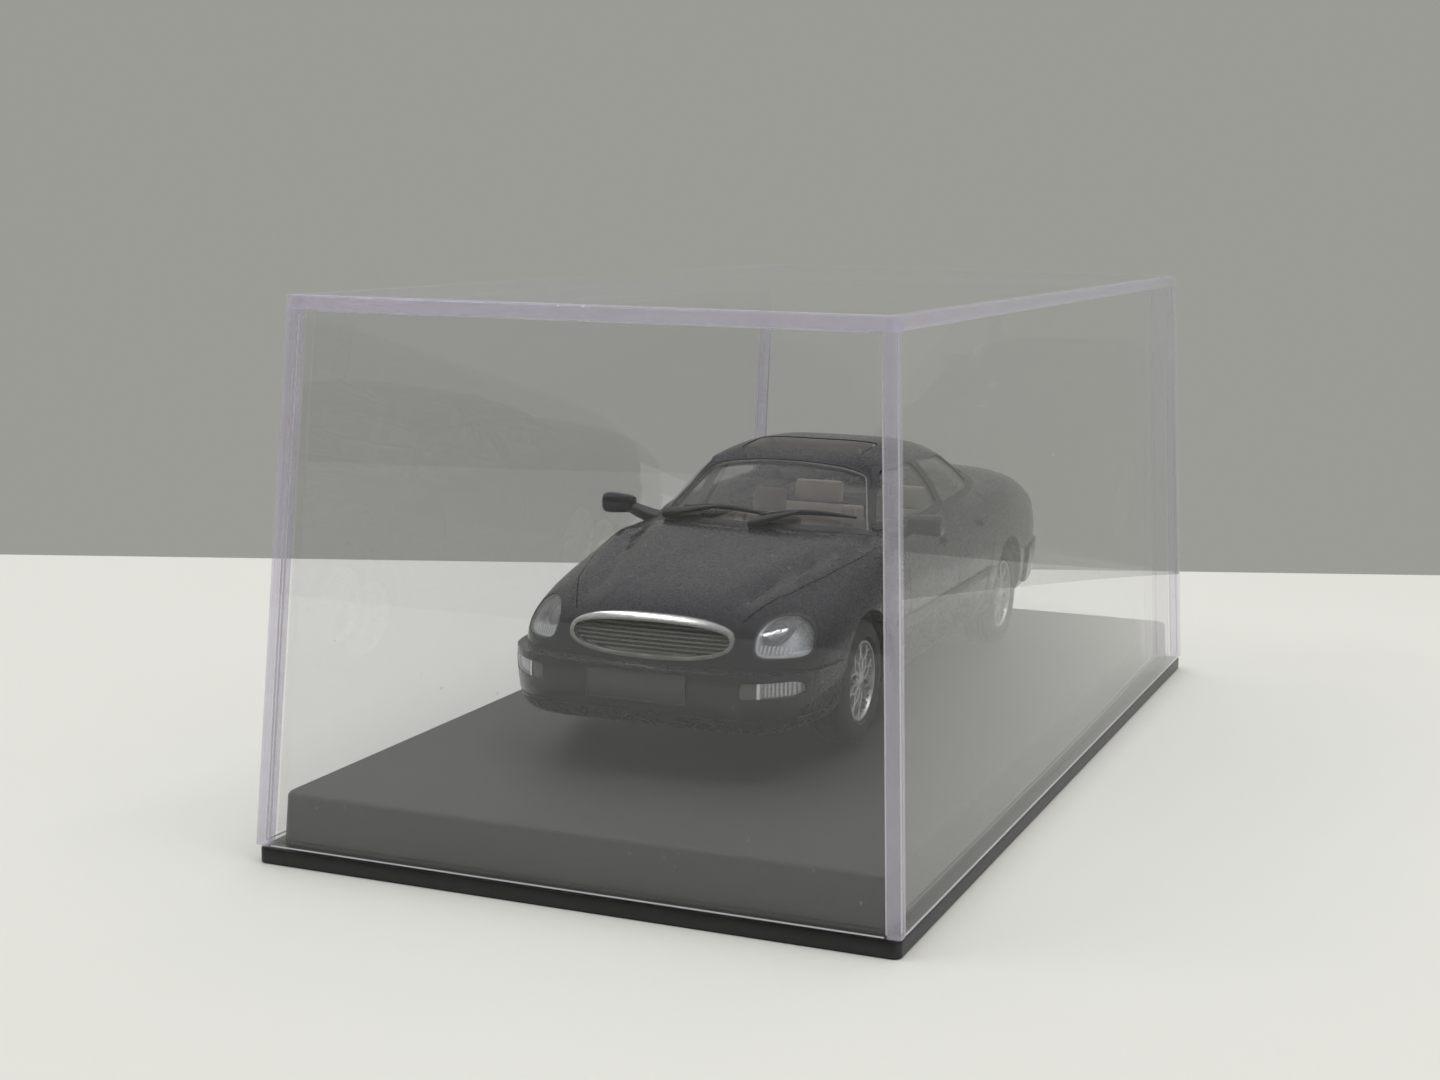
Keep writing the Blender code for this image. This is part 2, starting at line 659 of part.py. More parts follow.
def build_body():
    reach = (-30.0, -2 * BUMPER_REACH, 0.0), (30.0, BUMPER_END, BUMPER_TOP)
    body = join(lower_body(), common(bumper_form(), car_box(*reach)))
    join(body, cabin())
    opening = extrusion(plan_outline(FLOOR_INSET), from_above, -2.0, FLOOR_BOTTOM + 3.5)
    cut(body, lower_body(BODY_WALL, 18, 4), cabin(CABIN_WALL), opening)
    for name, station in BODY_SCREWS.items():
        x, y, _ = car(0, station, 0)
        roof = ROAD + (smooth(TOP, station) - BODY_WALL / 2) * RAISE
        foot = floor_level() + FLOOR_THICKNESS * RAISE + TRIM_GAP
        join(body, cylinder((x, y, foot), (x, y, roof), BODY_POST_RADIUS, 16))
        hole = cylinder((x, y, foot - 1), (x, y, foot + 4.0), BODY_SCREW_RADIUS + HUB_CLEARANCE, 16)
        cut(body, hole)
    for y, z in wheel_centres().values():
        cut(body, through(y, z, TYRE_RADIUS + ARCH_CLEARANCE, CAR_WIDTH))
    for window in (FRONT_WINDOW, REAR_WINDOW, QUARTER_WINDOW):
        cut(body, extrusion(window, from_side, -CAR_WIDTH, CAR_WIDTH))
    for screen in (windscreen_outline(), rear_screen_outline()):
        cut(body, extrusion(screen, from_above, WINDOW_FLOOR - 0.6, DESIGN_HEIGHT + 1))
    front = (-INDENT, LAMP_DEPTH)
    rear = (TAIL_LAMP_START, DESIGN_LENGTH + INDENT)
    cut(body, extrusion(grille_outline(), from_front, -INDENT, 7.0))
    for outline in (headlamp_outline(), bumper_lamp_outline()):
        cut(body, extrusion(outline, from_front, *front))
        cut(body, extrusion(mirrored(outline), from_front, *front))
    cut(body, extrusion(TAIL_LAMP, from_front, *rear))
    cut(body, extrusion(mirrored(TAIL_LAMP), from_front, *rear))
    pocket = extrusion(SUNROOF, from_above, 30.0, DESIGN_HEIGHT + 1)
    cut(body, cut(pocket, cabin(0.4)))
    return body


def build_sunroof():
    outline = grown(SUNROOF, -TRIM_GAP)
    return skin_patch(cabin, outline, from_above, 30.0, DESIGN_HEIGHT + 1, 0.0, 0.3)


def build_glazing():
    """One clear moulding behind every window: the cabin's shape, open underneath."""
    outer = CABIN_WALL + GLAZING_GAP
    base = car_box((-DESIGN_WIDTH, -5, CABIN_BASE - 4), (DESIGN_WIDTH, 120, WINDOW_FLOOR))
    return cut(cabin(outer), base, cabin(outer + GLAZING_THICKNESS))


# ---- Lamps, grille and plates -------------------------------------------------------------
def build_front_lamp(outline, outer, inner, form=lower_body):
    return skin_patch(form, grown(outline, -TRIM_GAP), from_front, -INDENT,
                      LAMP_DEPTH - TRIM_GAP, outer, inner)


def build_grille_surround():
    ring = skin_patch(lower_body, grille_outline(TRIM_GAP), from_front, -INDENT, 8.0, -0.2, 1.1)
    hole = extrusion(grille_outline(TRIM_GAP + GRILLE_RING), from_front, -INDENT, 9.0)
    return cut(ring, hole)


def build_grille_insert():
    """Grille plate with slots between its horizontal bars."""
    inset = 2 * TRIM_GAP + GRILLE_RING
    plate = skin_patch(lower_body, grille_outline(inset), from_front, -INDENT, 8.0, 0.2, 1.0)
    tallest = GRILLE_HALF_HEIGHT - inset - GRILLE_BAR / 2
    widest = GRILLE_HALF_WIDTH - inset - GRILLE_BAR
    for i in range(GRILLE_SLOTS):
        offset = 2 * tallest * ((i + 0.5) / GRILLE_SLOTS - 0.5)
        slot = tallest / GRILLE_SLOTS - GRILLE_BAR / 2
        far = (abs(offset) + slot) / tallest
        half = widest * (1 - far**GRILLE_POWER)**(1 / GRILLE_POWER)
        level = GRILLE_LEVEL + offset
        cut(plate, car_box((-half, -INDENT, level - slot), (half, 8.0, level + slot)))
    return plate


def build_front_plate():
    return skin_patch(bumper_form, FRONT_PLATE, from_front, -INDENT, 2.0, -0.4, -TRIM_GAP)


def build_rear_plate():
    return skin_patch(lower_body, REAR_PLATE, from_front, 106.0, DESIGN_LENGTH + INDENT,
                      -0.35, -TRIM_GAP)


def build_tail_lamp():
    return skin_patch(lower_body, grown(TAIL_LAMP, -TRIM_GAP), from_front, TAIL_LAMP_START + TRIM_GAP,
                      DESIGN_LENGTH + INDENT, 0.0, 1.3)


def build_boot_strip():
    """Bright strip across the boot lid, between the tail lamps."""
    outline = [(-4.3, 18.6), (4.3, 18.6), (4.3, 19.6), (-4.3, 19.6)]
    return skin_patch(lower_body, outline, from_front, 106.0, DESIGN_LENGTH + INDENT,
                      -0.35, -TRIM_GAP)


def build_side_trim():
    """Rubbing strip along both doors of one side."""
    outline = [(31.5, 12.3), (74.6, 12.6), (74.6, 13.5), (31.5, 13.2)]
    return skin_patch(lower_body, outline, from_side, 15.0, 24.0, -0.4, -TRIM_GAP)


def build_door_handle(station):
    outline = [(station + u, 20.4 + v) for u, v in rounded_rectangle(1.9, 0.42, 0.3, 1)]
    return skin_patch(lower_body, outline, from_side, 14.0, 24.0, -0.55, -TRIM_GAP)


# ---- Mirrors and wipers -------------------------------------------------------------------
MIRROR_CENTRE = (21.4, 38.4, 25.3)
MIRROR_HALF = (2.25, 1.25, 1.5)
MIRROR_BACK = 0.75            # flat rear face of the housing, behind its centre
MIRROR_RECESS = (1.75, 0.35, 1.1)


def egg(centre, half, power=2.6, around=16, levels=8, flat=None):
    """Rounded housing; flat gives a station behind which it is cut off square."""
    rings = []
    for i in range(1, levels):
        x, rise = superellipse(1.0, 1.0, power, -pi / 2 + pi * i / levels)
        rings.append([car(centre[0] + u, centre[1] + v, centre[2] + rise * half[2])
                      for u, v in oval(half[0] * x, half[1] * x, power, around)])
    housing = loft(rings)
    if flat is not None:
        cut(housing, car_box((-50, flat, 0), (50, flat + 20, 60)))
    return housing


def build_mirror():
    """Door mirror housing with its foot, resting against the door's top corner."""
    x, station, h = MIRROR_CENTRE
    back = station + MIRROR_BACK
    housing = egg((x, station, h), MIRROR_HALF, flat=back)
    foot = loft([[car(17.0 + step * 3.6, station + v - 0.3 + 0.4 * step, h - 1.5 + u + 0.9 * step)
                  for u, v in rounded_rectangle(0.75, 0.8, 0.3)] for step in (0.0, 1.0)])
    mirror = join(housing, foot)
    cut(mirror, egg((x, back, h), MIRROR_RECESS, levels=8))
    return cut(mirror, lower_body(-TRIM_GAP), cabin(-TRIM_GAP))


def build_mirror_glass():
    x, station, h = MIRROR_CENTRE
    back = station + MIRROR_BACK
    glass = egg((x, back, h), [half - TRIM_GAP for half in MIRROR_RECESS])
    return cut(glass, car_box((-50, back, 0), (50, back + 20, 60)))


def on_screen(x, station, lift):
    """Point above the windscreen's outer face."""
    return Vector(car(x, station, roof_height(x, station, 0.0) + lift))


def tube_along(points, radius, name="tube", resolution=1):
    """A round bar through points, as a closed mesh."""
    curve = bpy.data.curves.new(name, 'CURVE')
    curve.dimensions = '3D'
    curve.bevel_depth = radius * MM
    curve.bevel_resolution = resolution
    curve.use_fill_caps = True
    spline = curve.splines.new('POLY')
    spline.points.add(len(points) - 1)
    for target, point in zip(spline.points, points):
        target.co = (*(Vector(point) * MM), 1.0)
    bar = bpy.data.objects.new(name, curve)
    bpy.context.scene.collection.objects.link(bar)
    graph = bpy.context.evaluated_depsgraph_get()
    mesh = bpy.data.meshes.new_from_object(bar.evaluated_get(graph))
    bpy.data.objects.remove(bar, do_unlink=True)
    bm = bmesh.new()
    bm.from_mesh(mesh)
    bmesh.ops.remove_doubles(bm, verts=bm.verts, dist=0.000001)
    bmesh.ops.recalc_face_normals(bm, faces=bm.faces)
    bm.to_mesh(mesh)
    bm.free()
    obj = bpy.data.objects.new(name, mesh)
    bpy.context.scene.collection.objects.link(obj)
    return obj


WIPERS = {"left": (8.8, 11.6, -1.2), "right": (-3.6, -1.9, -13.0)}


def build_wiper(pivot, elbow, tip):
    """Wiper arm from its pivot at the scuttle, with the blade lying low on the glass."""
    steps = 8
    blade = []
    for i in range(steps + 1):
        x = elbow + (tip - elbow) * i / steps
        base = 34.0 + SCREEN_SWEEP * (x / SCREEN_HALF_WIDTH)**2
        blade.append(on_screen(x, base + 1.0 * sin(pi * i / steps), 0.45))
    bar = tube_along(blade, 0.22)
    arm = []
    for i in range(5):
        x = pivot + ((elbow + tip) / 2 - pivot) * i / 4
        base = 32.6 + 2.2 * i / 4 + SCREEN_SWEEP * (x / SCREEN_HALF_WIDTH)**2
        arm.append(on_screen(x, base, 0.75))
    join(bar, tube_along(arm, 0.25))
    return cut(bar, lower_body(-TRIM_GAP), cabin(-TRIM_GAP))


# ---- Chassis and running gear -------------------------------------------------------------
def build_chassis():
    """Floor plate inside the sills, with a tub over each wheel and bearings for the axles."""
    low = FLOOR_BOTTOM
    high = FLOOR_BOTTOM + FLOOR_THICKNESS
    plate = extrusion(plan_outline(FLOOR_INSET + TRIM_GAP), from_above, low, high)
    tub = TYRE_RADIUS + TUB_CLEARANCE
    inner = WHEEL_X - TYRE_WIDTH / 2 - 0.9
    outer = CAR_WIDTH / 2 - FLOOR_INSET - 0.8
    below = ROAD - 5
    for y, z in wheel_centres().values():
        for side in (-1, 1):
            shell = cylinder((CAR_X + side * (inner - TUB_WALL), y, z),
                             (CAR_X + side * outer, y, z), tub + TUB_WALL, 22)
            cut(shell, box((-200, y - 50, below), (200, y + 50, floor_level() + 0.3)))
            join(plate, shell)
            cut(plate, cylinder((CAR_X + side * inner, y, z), (CAR_X + side * 60, y, z), tub, 22))
        for side in (-1, 1):
            near = CAR_X + side * 5.0
            far = CAR_X + side * (inner - TUB_WALL / 2)
            block = box((min(near, far), y - 2.2, floor_level() + 0.5),
                        (max(near, far), y + 2.2, z + 2.0))
            join(plate, block)
        cut(plate, through(y, z, AXLE_RADIUS + RUNNING_CLEARANCE, 25.0, 16))
    for station in PLINTH_SCREWS.values():
        x, y, _ = car(0, station, 0)
        top = floor_level() + FLOOR_THICKNESS * RAISE + SCREW_BOSS_HEIGHT
        join(plate, cylinder((x, y, floor_level() + 0.4), (x, y, top), SCREW_BOSS_RADIUS, 16))
        hole = PLINTH_SCREW_RADIUS + HUB_CLEARANCE
        cut(plate, cylinder((x, y, below), (x, y, top - 0.4), hole, 16))
    for station in BODY_SCREWS.values():
        x, y, _ = car(0, station, 0)
        cut(plate, cylinder((x, y, below), (x, y, ROAD + 20), BODY_SCREW_RADIUS + 0.1, 16))
    return plate


def rim_half():
    """Half the rim's width: its lips stand a little inside the tyre's walls."""
    return TYRE_WIDTH / 2 - 0.35


def build_axle(y, z):
    reach = WHEEL_X + rim_half() - HUB_FACE - HUB_CLEARANCE
    return through(y, z, AXLE_RADIUS, reach, 16)


def build_tyre(y, z):
    """Tyre with a shallow shoulder and a bead that sits on the rim."""
    half = TYRE_WIDTH / 2
    bore = RIM_RADIUS + TRIM_GAP / 2
    profile = [(-half + 0.3, bore), (-half, bore + 0.5), (-half + 0.1, TYRE_RADIUS - 0.9),
               (-half + 0.9, TYRE_RADIUS), (half - 0.9, TYRE_RADIUS),
               (half - 0.1, TYRE_RADIUS - 0.9), (half, bore + 0.5), (half - 0.3, bore)]
    return turned(profile, (CAR_X + WHEEL_X, y, z), 24)


def build_rim(y, z):
    """Alloy wheel: a dished barrel with a hub, and openings between the spokes."""
    half = rim_half()
    lip = RIM_RADIUS
    bore = AXLE_RADIUS + HUB_CLEARANCE
    hub = 1.5
    profile = [(-half, bore), (-half, hub), (half - 1.9, hub), (half - 1.7, lip - 0.75),
               (-half, lip - 0.6), (-half, lip), (half, lip), (half - 0.5, lip - 0.6),
               (half - 0.6, hub), (half - 0.35, 0.0), (half - HUB_FACE, 0.0), (half - HUB_FACE, bore)]
    centre = CAR_X + WHEEL_X
    rim = turned(profile, (centre, y, z), 16)
    outline = [(1.9, 0.16), (3.95, 0.62), (3.95, -0.62), (1.9, -0.16)]
    for i in range(RIM_SPOKES):
        turn = 2 * pi * (i + 0.5) / RIM_SPOKES
        hole = [(r * cos(turn) - t * sin(turn), r * sin(turn) + t * cos(turn)) for r, t in outline]
        cut(rim, loft([[(centre + w, y + u, z + v) for u, v in hole]
                       for w in (half - 2.6, half + 1)]))
    return rim


def build_exhaust():
    y_start, y_end = along(97.0), along(109.6)
    x = CAR_X - 11.5 * WIDEN
    z = floor_level() - 0.1
    pipe = cylinder((x, y_start, z - 0.9), (x, y_end, z - 0.9), 0.8, 16)
    return cut(pipe, cylinder((x, y_end - 2.0, z - 0.9), (x, y_end + 1, z - 0.9), 0.55, 16))


# ---- Cabin --------------------------------------------------------------------------------
def build_tub():
    """Floor and door cards of the cabin, open at the top and low behind the rear bench."""
    floor = FLOOR_BOTTOM + FLOOR_THICKNESS + TUB_GAP
    end = REAR_AXLE - (TYRE_RADIUS + TUB_CLEARANCE + TUB_WALL + TUB_GAP) / STRETCH
    shell = car_box((-TUB_HALF_WIDTH, 34.0, floor), (TUB_HALF_WIDTH, end, 20.0))
    inside = TUB_HALF_WIDTH - TUB_WALL
    cut(shell, car_box((-inside, 34.0 + TUB_WALL, floor + TUB_WALL),
                       (inside, end - TUB_WALL, 30.0)))
    cut(shell, car_box((-30.0, 69.0, 12.0), (30.0, 80.0, 30.0)))
    for station in PLINTH_SCREWS.values():
        x, y, _ = car(0, station, 0)
        z = floor_level()
        cut(shell, cylinder((x, y, z), (x, y, z + 8), SCREW_BOSS_RADIUS + 2 * TRIM_GAP, 16))
    return shell


def seat_base():
    return FLOOR_BOTTOM + FLOOR_THICKNESS + TUB_GAP + TUB_WALL + TRIM_GAP


def build_dashboard():
    """Dashboard between the door cards, with a hood over the instruments."""
    outline = [(35.4, 14.0), (38.2, 14.0), (39.4, 17.4), (39.2, 20.6), (37.8, 21.4), (35.4, 20.9)]
    half = TUB_HALF_WIDTH - TUB_WALL - 0.5
    dash = extrusion(outline, from_side, -half, half)
    hood = extrusion([(36.8, 20.0), (40.0, 20.0), (39.8, 21.9), (38.2, 22.0)], from_side, 5.2, 11.2)
    return round_edges(join(dash, hood), 0.2, 1)


def build_steering_wheel():
    """Wheel rim, hub and column, leaning towards the driver."""
    bm = bmesh.new()
    ring = 18
    tube = 5
    grid = []
    for i in range(ring):
        turn = 2 * pi * i / ring
        loop = []
        for j in range(tube):
            lean = 2 * pi * j / tube
            r = 3.3 + 0.38 * cos(lean)
            loop.append(bm.verts.new((r * cos(turn), r * sin(turn), 0.38 * sin(lean))))
        grid.append(loop)
    for i in range(ring):
        for j in range(tube):
            after = grid[(i + 1) % ring]
            bm.faces.new((grid[i][j], after[j], after[(j + 1) % tube], grid[i][(j + 1) % tube]))
    wheel = object_from(bm, "wheel")
    join(wheel, box((-3.2, -0.35, -0.25), (3.2, 0.35, 0.2)), box((-0.35, -3.2, -0.25), (0.35, 0.0, 0.2)))
    join(wheel, cylinder((0, 0, -0.7), (0, 0, 0.55), 1.05, 16))
    centre = Vector(car(8.2, 42.6, 19.6)) * MM
    wheel.data.transform(Matrix.Translation(centre) @ Matrix.Rotation(-1.15, 4, 'X'))
    return wheel


def build_front_seat():
    """Bucket seat: cushion, raked back and head restraint in one moulding."""
    x = 8.2
    half = 4.7
    base = seat_base()
    cushion = extrusion([(46.4, base), (56.2, base), (56.2, 11.4), (46.4, 12.2)], from_side,
                        x - half, x + half)
    back = extrusion([(54.2, 9.0), (57.2, 9.0), (60.6, 21.4), (58.4, 21.9)], from_side,
                     x - half, x + half)
    rest = extrusion([(58.7, 20.5), (60.4, 20.5), (61.1, 24.6), (59.7, 24.8)], from_side,
                     x - 2.1, x + 2.1)
    return round_edges(join(cushion, back, rest), 0.45, 2)


def build_rear_bench():
    base = seat_base()
    cushion = extrusion([(63.6, base), (72.8, base), (72.8, 11.6), (63.6, 12.4)], from_side,
                        -14.6, 14.6)
    back = extrusion([(70.4, 9.0), (72.8, 9.0), (78.8, 21.4), (76.8, 21.9)], from_side,
                     -14.6, 14.6)
    bench = join(cushion, back)
    for x in (-8.2, 8.2):
        join(bench, extrusion([(77.0, 20.6), (78.4, 20.6), (79.4, 23.6), (78.2, 23.8)], from_side,
                              x - 2.0, x + 2.0))
    return round_edges(bench, 0.4, 2)


def build_parcel_shelf():
    return car_box((-15.0, 80.4, 21.1), (15.0, 89.6, 21.8))


def build_inner_mirror():
    """Rear-view mirror hanging under the windscreen's top edge."""
    mirror = egg((0.0, 48.6, 28.6), (2.5, 0.5, 0.8), levels=6, around=12)
    x, y, z = car(0, 48.9, 28.9)
    under = CABIN_WALL + GLAZING_GAP + GLAZING_THICKNESS
    top = ROAD + (roof_height(0, 48.9, under) - 3 * TRIM_GAP) * RAISE
    return join(mirror, cylinder((x, y, z), (x, y, top), 0.35, 10))


# ---- Assembly -----------------------------------------------------------------------------
def main():
    clear_scene()
    parts = make_collection("diecast_collector_car")
    clear = make_material("clear_acrylic", (0.92, 0.92, 0.96), 0.05, alpha=0.25)
    plinth_black = make_material("plinth_black", (0.055, 0.057, 0.055), 0.6)
    paint = make_material("midnight_paint", (0.012, 0.016, 0.03), 0.15)
    glass = make_material("window_clear", (0.75, 0.78, 0.78), 0.05, alpha=0.35)
    lens = make_material("lamp_clear", (0.85, 0.87, 0.88), 0.08, alpha=0.6)
    silver = make_material("lamp_silver", (0.75, 0.76, 0.77), 0.25, metallic=0.9)
    chrome = make_material("bright_trim", (0.8, 0.8, 0.8), 0.15, metallic=1.0)
    dark = make_material("dark_plastic", (0.03, 0.03, 0.03), 0.5)
    alloy = make_material("alloy_paint", (0.6, 0.61, 0.6), 0.35, metallic=0.7)
    rubber = make_material("tyre_rubber", (0.02, 0.02, 0.02), 0.75)
    trim = make_material("cabin_trim", (0.23, 0.19, 0.15), 0.7)
    steel = make_material("screw_steel", (0.55, 0.55, 0.56), 0.35, metallic=1.0)
    red = make_material("lamp_red", (0.35, 0.01, 0.015), 0.12)
    plate = make_material("plate_blank", (0.03, 0.033, 0.045), 0.3)

    def node(obj, name, material):
        return finish(obj, name, material, parts)

    def pair(obj, name, material):
        node(mirror_copy(obj), f"{name}_right", material)
        node(obj, f"{name}_left", material)

    node(build_plinth(), "plinth", plinth_black)
    node(build_cover(), "cover", clear)
    for name, station in PLINTH_SCREWS.items():
        node(build_spacer(station), f"spacer_{name}", dark)
        node(build_plinth_screw(station), f"plinth_screw_{name}", steel)
    for name, station in BODY_SCREWS.items():
        node(build_body_screw(station), f"body_screw_{name}", steel)
    node(build_body(), "body_shell", paint)
    node(build_glazing(), "glazing", glass)
    node(build_sunroof(), "sunroof_panel", dark)
    node(build_chassis(), "chassis", dark)
    node(build_exhaust(), "exhaust_pipe", silver)
    for name, (y, z) in wheel_centres().items():
        node(build_axle(y, z), f"{name}_axle", steel)
        pair(build_tyre(y, z), f"{name}_tyre", rubber)
        pair(build_rim(y, z), f"{name}_rim", alloy)
    node(build_grille_surround(), "grille_surround", chrome)
    node(build_grille_insert(), "grille_insert", dark)
    node(build_front_plate(), "front_number_plate", plate)
    node(build_rear_plate(), "rear_number_plate", plate)
    node(build_boot_strip(), "boot_strip", chrome)
    pair(build_front_lamp(headlamp_outline(), 0.0, 0.5), "headlamp_lens", lens)
    pair(build_front_lamp(headlamp_outline(), 0.6, 1.8), "headlamp_reflector", silver)
    pair(build_front_lamp(bumper_lamp_outline(), 0.0, 1.3, bumper_form), "bumper_lamp", lens)
    pair(build_tail_lamp(), "tail_lamp", red)
    pair(build_side_trim(), "side_trim", dark)
    pair(build_mirror(), "door_mirror", paint)
    pair(build_mirror_glass(), "mirror_glass", chrome)
    pair(build_door_handle(53.6), "front_door_handle", paint)
    pair(build_door_handle(71.2), "rear_door_handle", paint)
    for name, reach in WIPERS.items():
        node(build_wiper(*reach), f"wiper_{name}", dark)
    node(build_tub(), "cabin_tub", trim)
    node(build_dashboard(), "dashboard", dark)
    node(build_steering_wheel(), "steering_wheel", dark)
    pair(build_front_seat(), "front_seat", trim)
    node(build_rear_bench(), "rear_bench", trim)
    node(build_parcel_shelf(), "parcel_shelf", dark)
    node(build_inner_mirror(), "inner_mirror", dark)


main()
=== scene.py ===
"""A 1:43 diecast saloon on its plinth under a clear cover: surfaces, materials, stage, camera."""
from math import atan2, cos, exp, pi, radians, sin

import bmesh
import bpy
from mathutils import Matrix, Vector


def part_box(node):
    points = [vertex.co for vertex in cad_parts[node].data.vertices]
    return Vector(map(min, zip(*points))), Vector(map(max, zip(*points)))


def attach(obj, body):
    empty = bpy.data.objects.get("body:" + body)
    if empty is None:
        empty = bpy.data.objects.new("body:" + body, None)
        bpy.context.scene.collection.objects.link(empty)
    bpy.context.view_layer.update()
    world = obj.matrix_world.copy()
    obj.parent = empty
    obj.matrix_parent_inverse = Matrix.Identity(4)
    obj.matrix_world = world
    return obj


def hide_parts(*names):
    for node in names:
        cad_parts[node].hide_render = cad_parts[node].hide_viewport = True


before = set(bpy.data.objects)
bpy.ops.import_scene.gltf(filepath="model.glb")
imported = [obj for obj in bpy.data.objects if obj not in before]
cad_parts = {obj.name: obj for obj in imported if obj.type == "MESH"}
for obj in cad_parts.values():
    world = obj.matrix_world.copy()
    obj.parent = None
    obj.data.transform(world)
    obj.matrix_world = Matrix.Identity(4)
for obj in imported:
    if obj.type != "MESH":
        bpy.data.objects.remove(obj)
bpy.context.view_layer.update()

MM = 0.001
BASE, LID, FRONT, REAR = "display_base", "display_cover", "front_wheels", "rear_wheels"

# ---- Sizes repeated from the CAD, in millimetres --------------------------------------------
CASE_WIDTH, CASE_LENGTH = 75.1, 148.4
COVER_BASE, COVER_HEIGHT, COVER_WALL, COVER_DRAFT = 2.0, 60.9, 1.6, 3.15
COVER_FIT, FLANGE_THICKNESS, FLANGE_INSET = 0.3, 1.8, 0.2
PLATFORM_TOP, PLATFORM_CORNER, PLINTH_WALL = 7.8, 1.6, 1.8
ROAD = 9.0
CAR_X, CAR_Y = -2.0, 8.0
LENGTH, HEIGHT = 112.2, 32.3
TYRE_RADIUS, TYRE_WIDTH, RIM_RADIUS, WHEEL_X = 7.53, 4.8, 4.95, 17.05
FRONT_AXLE, REAR_AXLE = 21.0, 85.4

HALF_WIDTH = [(0, 9.0), (0.5, 11.8), (1.2, 13.6), (2.2, 15.2), (3.4, 16.5), (5, 17.8), (7, 18.8),
              (10, 19.5), (15, 20.0), (30, 20.3), (55, 20.45), (85, 20.25), (98, 19.7),
              (105, 18.7), (108.5, 17.6), (110.6, 16.0), (111.6, 14.2), (112.2, 11.0)]
TOP = [(0, 12.0), (0.6, 13.4), (1.4, 15.2), (2.4, 16.9), (3.6, 18.0), (5.5, 18.9), (9, 19.9),
       (15, 21.2), (22, 22.3), (31, 23.3), (40, 23.7), (60, 24.1), (84, 25.0), (92, 25.1),
       (100, 24.6), (105, 23.8), (108, 22.7), (110, 20.9), (111.3, 18.3), (112.2, 14.6)]
BOTTOM = [(0, 8.2), (0.6, 6.6), (1.4, 5.5), (2.6, 4.8), (4.5, 4.5), (12, 4.5), (55, 4.7),
          (100, 5.2), (107, 5.6), (110, 6.3), (111.4, 7.4), (112.2, 9.0)]
SHOULDER = [(0, 2.6), (5, 2.9), (12, 3.6), (24, 5.0), (36, 7.0), (82, 7.0), (96, 5.5),
            (106, 4.0), (112.2, 3.0)]
SILL_ROUNDNESS, CROWN, TUMBLE, TURN_UNDER, BELLY, THINNEST = 9.0, 0.7, 0.045, 0.055, 0.45, 0.3
ROOF = [(20, 18.4), (27, 20.5), (31.5, 23.2), (38, 27.1), (43, 29.7), (46, 30.9), (50, 31.75),
        (58, 32.3), (66, 32.05), (71, 31.4), (76, 29.9), (82, 27.5), (88.5, 24.9), (95, 21.6),
        (99, 20.2)]
CABIN_HALF_WIDTH = [(27, 18.6), (40, 19.5), (60, 19.75), (80, 19.3), (95, 18.0)]
CABIN_START, CABIN_END, CABIN_BASE = 27.0, 95.0, 19.5
CABIN_LEAN, CABIN_ROUNDNESS = 0.31, 4.6
SCREEN_SWEEP, SCREEN_HALF_WIDTH, REAR_SWEEP, WINDOW_FLOOR = 4.6, 15.0, 3.0, 22.3


# ---- Mesh helpers ---------------------------------------------------------------------------
def along(station):
    return CAR_Y + station - LENGTH / 2


def car(x, station, h):
    return (CAR_X + x, along(station), ROAD + h)


def side(station, h, x):
    return car(x, station, h)


def plan(x, station, h):
    return car(x, station, h)


def front(x, h, station):
    return car(x, station, h)


def spaced(low, high, count):
    return [low + (high - low) * i / count for i in range(count + 1)]


def turns(count):
    return [2 * pi * k / count for k in range(count)]


def add_object(name, data):
    obj = bpy.data.objects.new(name, data)
    bpy.context.scene.collection.objects.link(obj)
    return obj


def from_bmesh(name, bm):
    mesh = bpy.data.meshes.new(name)
    bm.to_mesh(mesh)
    bm.free()
    return add_object(name, mesh)


def new_object(name, bm):
    """Object in metres from a bmesh in millimetres, with its faces pointing out."""
    bmesh.ops.scale(bm, vec=(MM, MM, MM), verts=bm.verts)
    bmesh.ops.recalc_face_normals(bm, faces=bm.faces)
    return from_bmesh(name, bm)


def bake(obj):
    graph = bpy.context.evaluated_depsgraph_get()
    mesh = bpy.data.meshes.new_from_object(obj.evaluated_get(graph))
    old = obj.data
    obj.modifiers.clear()
    obj.data = mesh
    if old.users == 0:
        bpy.data.meshes.remove(old)
    return obj


def boolean(obj, tools, operation='DIFFERENCE'):
    """One exact Boolean with several tools, which are then removed."""
    group = bpy.data.collections.new("tools")
    for tool in tools:
        group.objects.link(tool)
    modifier = obj.modifiers.new("boolean", 'BOOLEAN')
    modifier.operation = operation
    modifier.operand_type = 'COLLECTION'
    modifier.collection = group
    modifier.solver = 'EXACT'
    bake(obj)
    for tool in tools:
        bpy.data.objects.remove(tool, do_unlink=True)
    bpy.data.collections.remove(group)
    return obj


def cut(obj, *tools):
    return boolean(obj, tools)


def join(obj, *tools):
    return boolean(obj, tools, 'UNION')


def common(obj, tool):
    return boolean(obj, [tool], 'INTERSECT')


def merge(name, objects):
    """One object from several, their meshes side by side."""
    bm = bmesh.new()
    for obj in objects:
        bm.from_mesh(obj.data)
        bpy.data.objects.remove(obj, do_unlink=True)
    return from_bmesh(name, bm)


def bevel(obj, width, segments=2, angle=0.6):
    modifier = obj.modifiers.new("edges", 'BEVEL')
    modifier.width = width * MM
    modifier.segments = segments
    modifier.limit_method = 'ANGLE'
    modifier.angle_limit = angle
    return bake(obj)


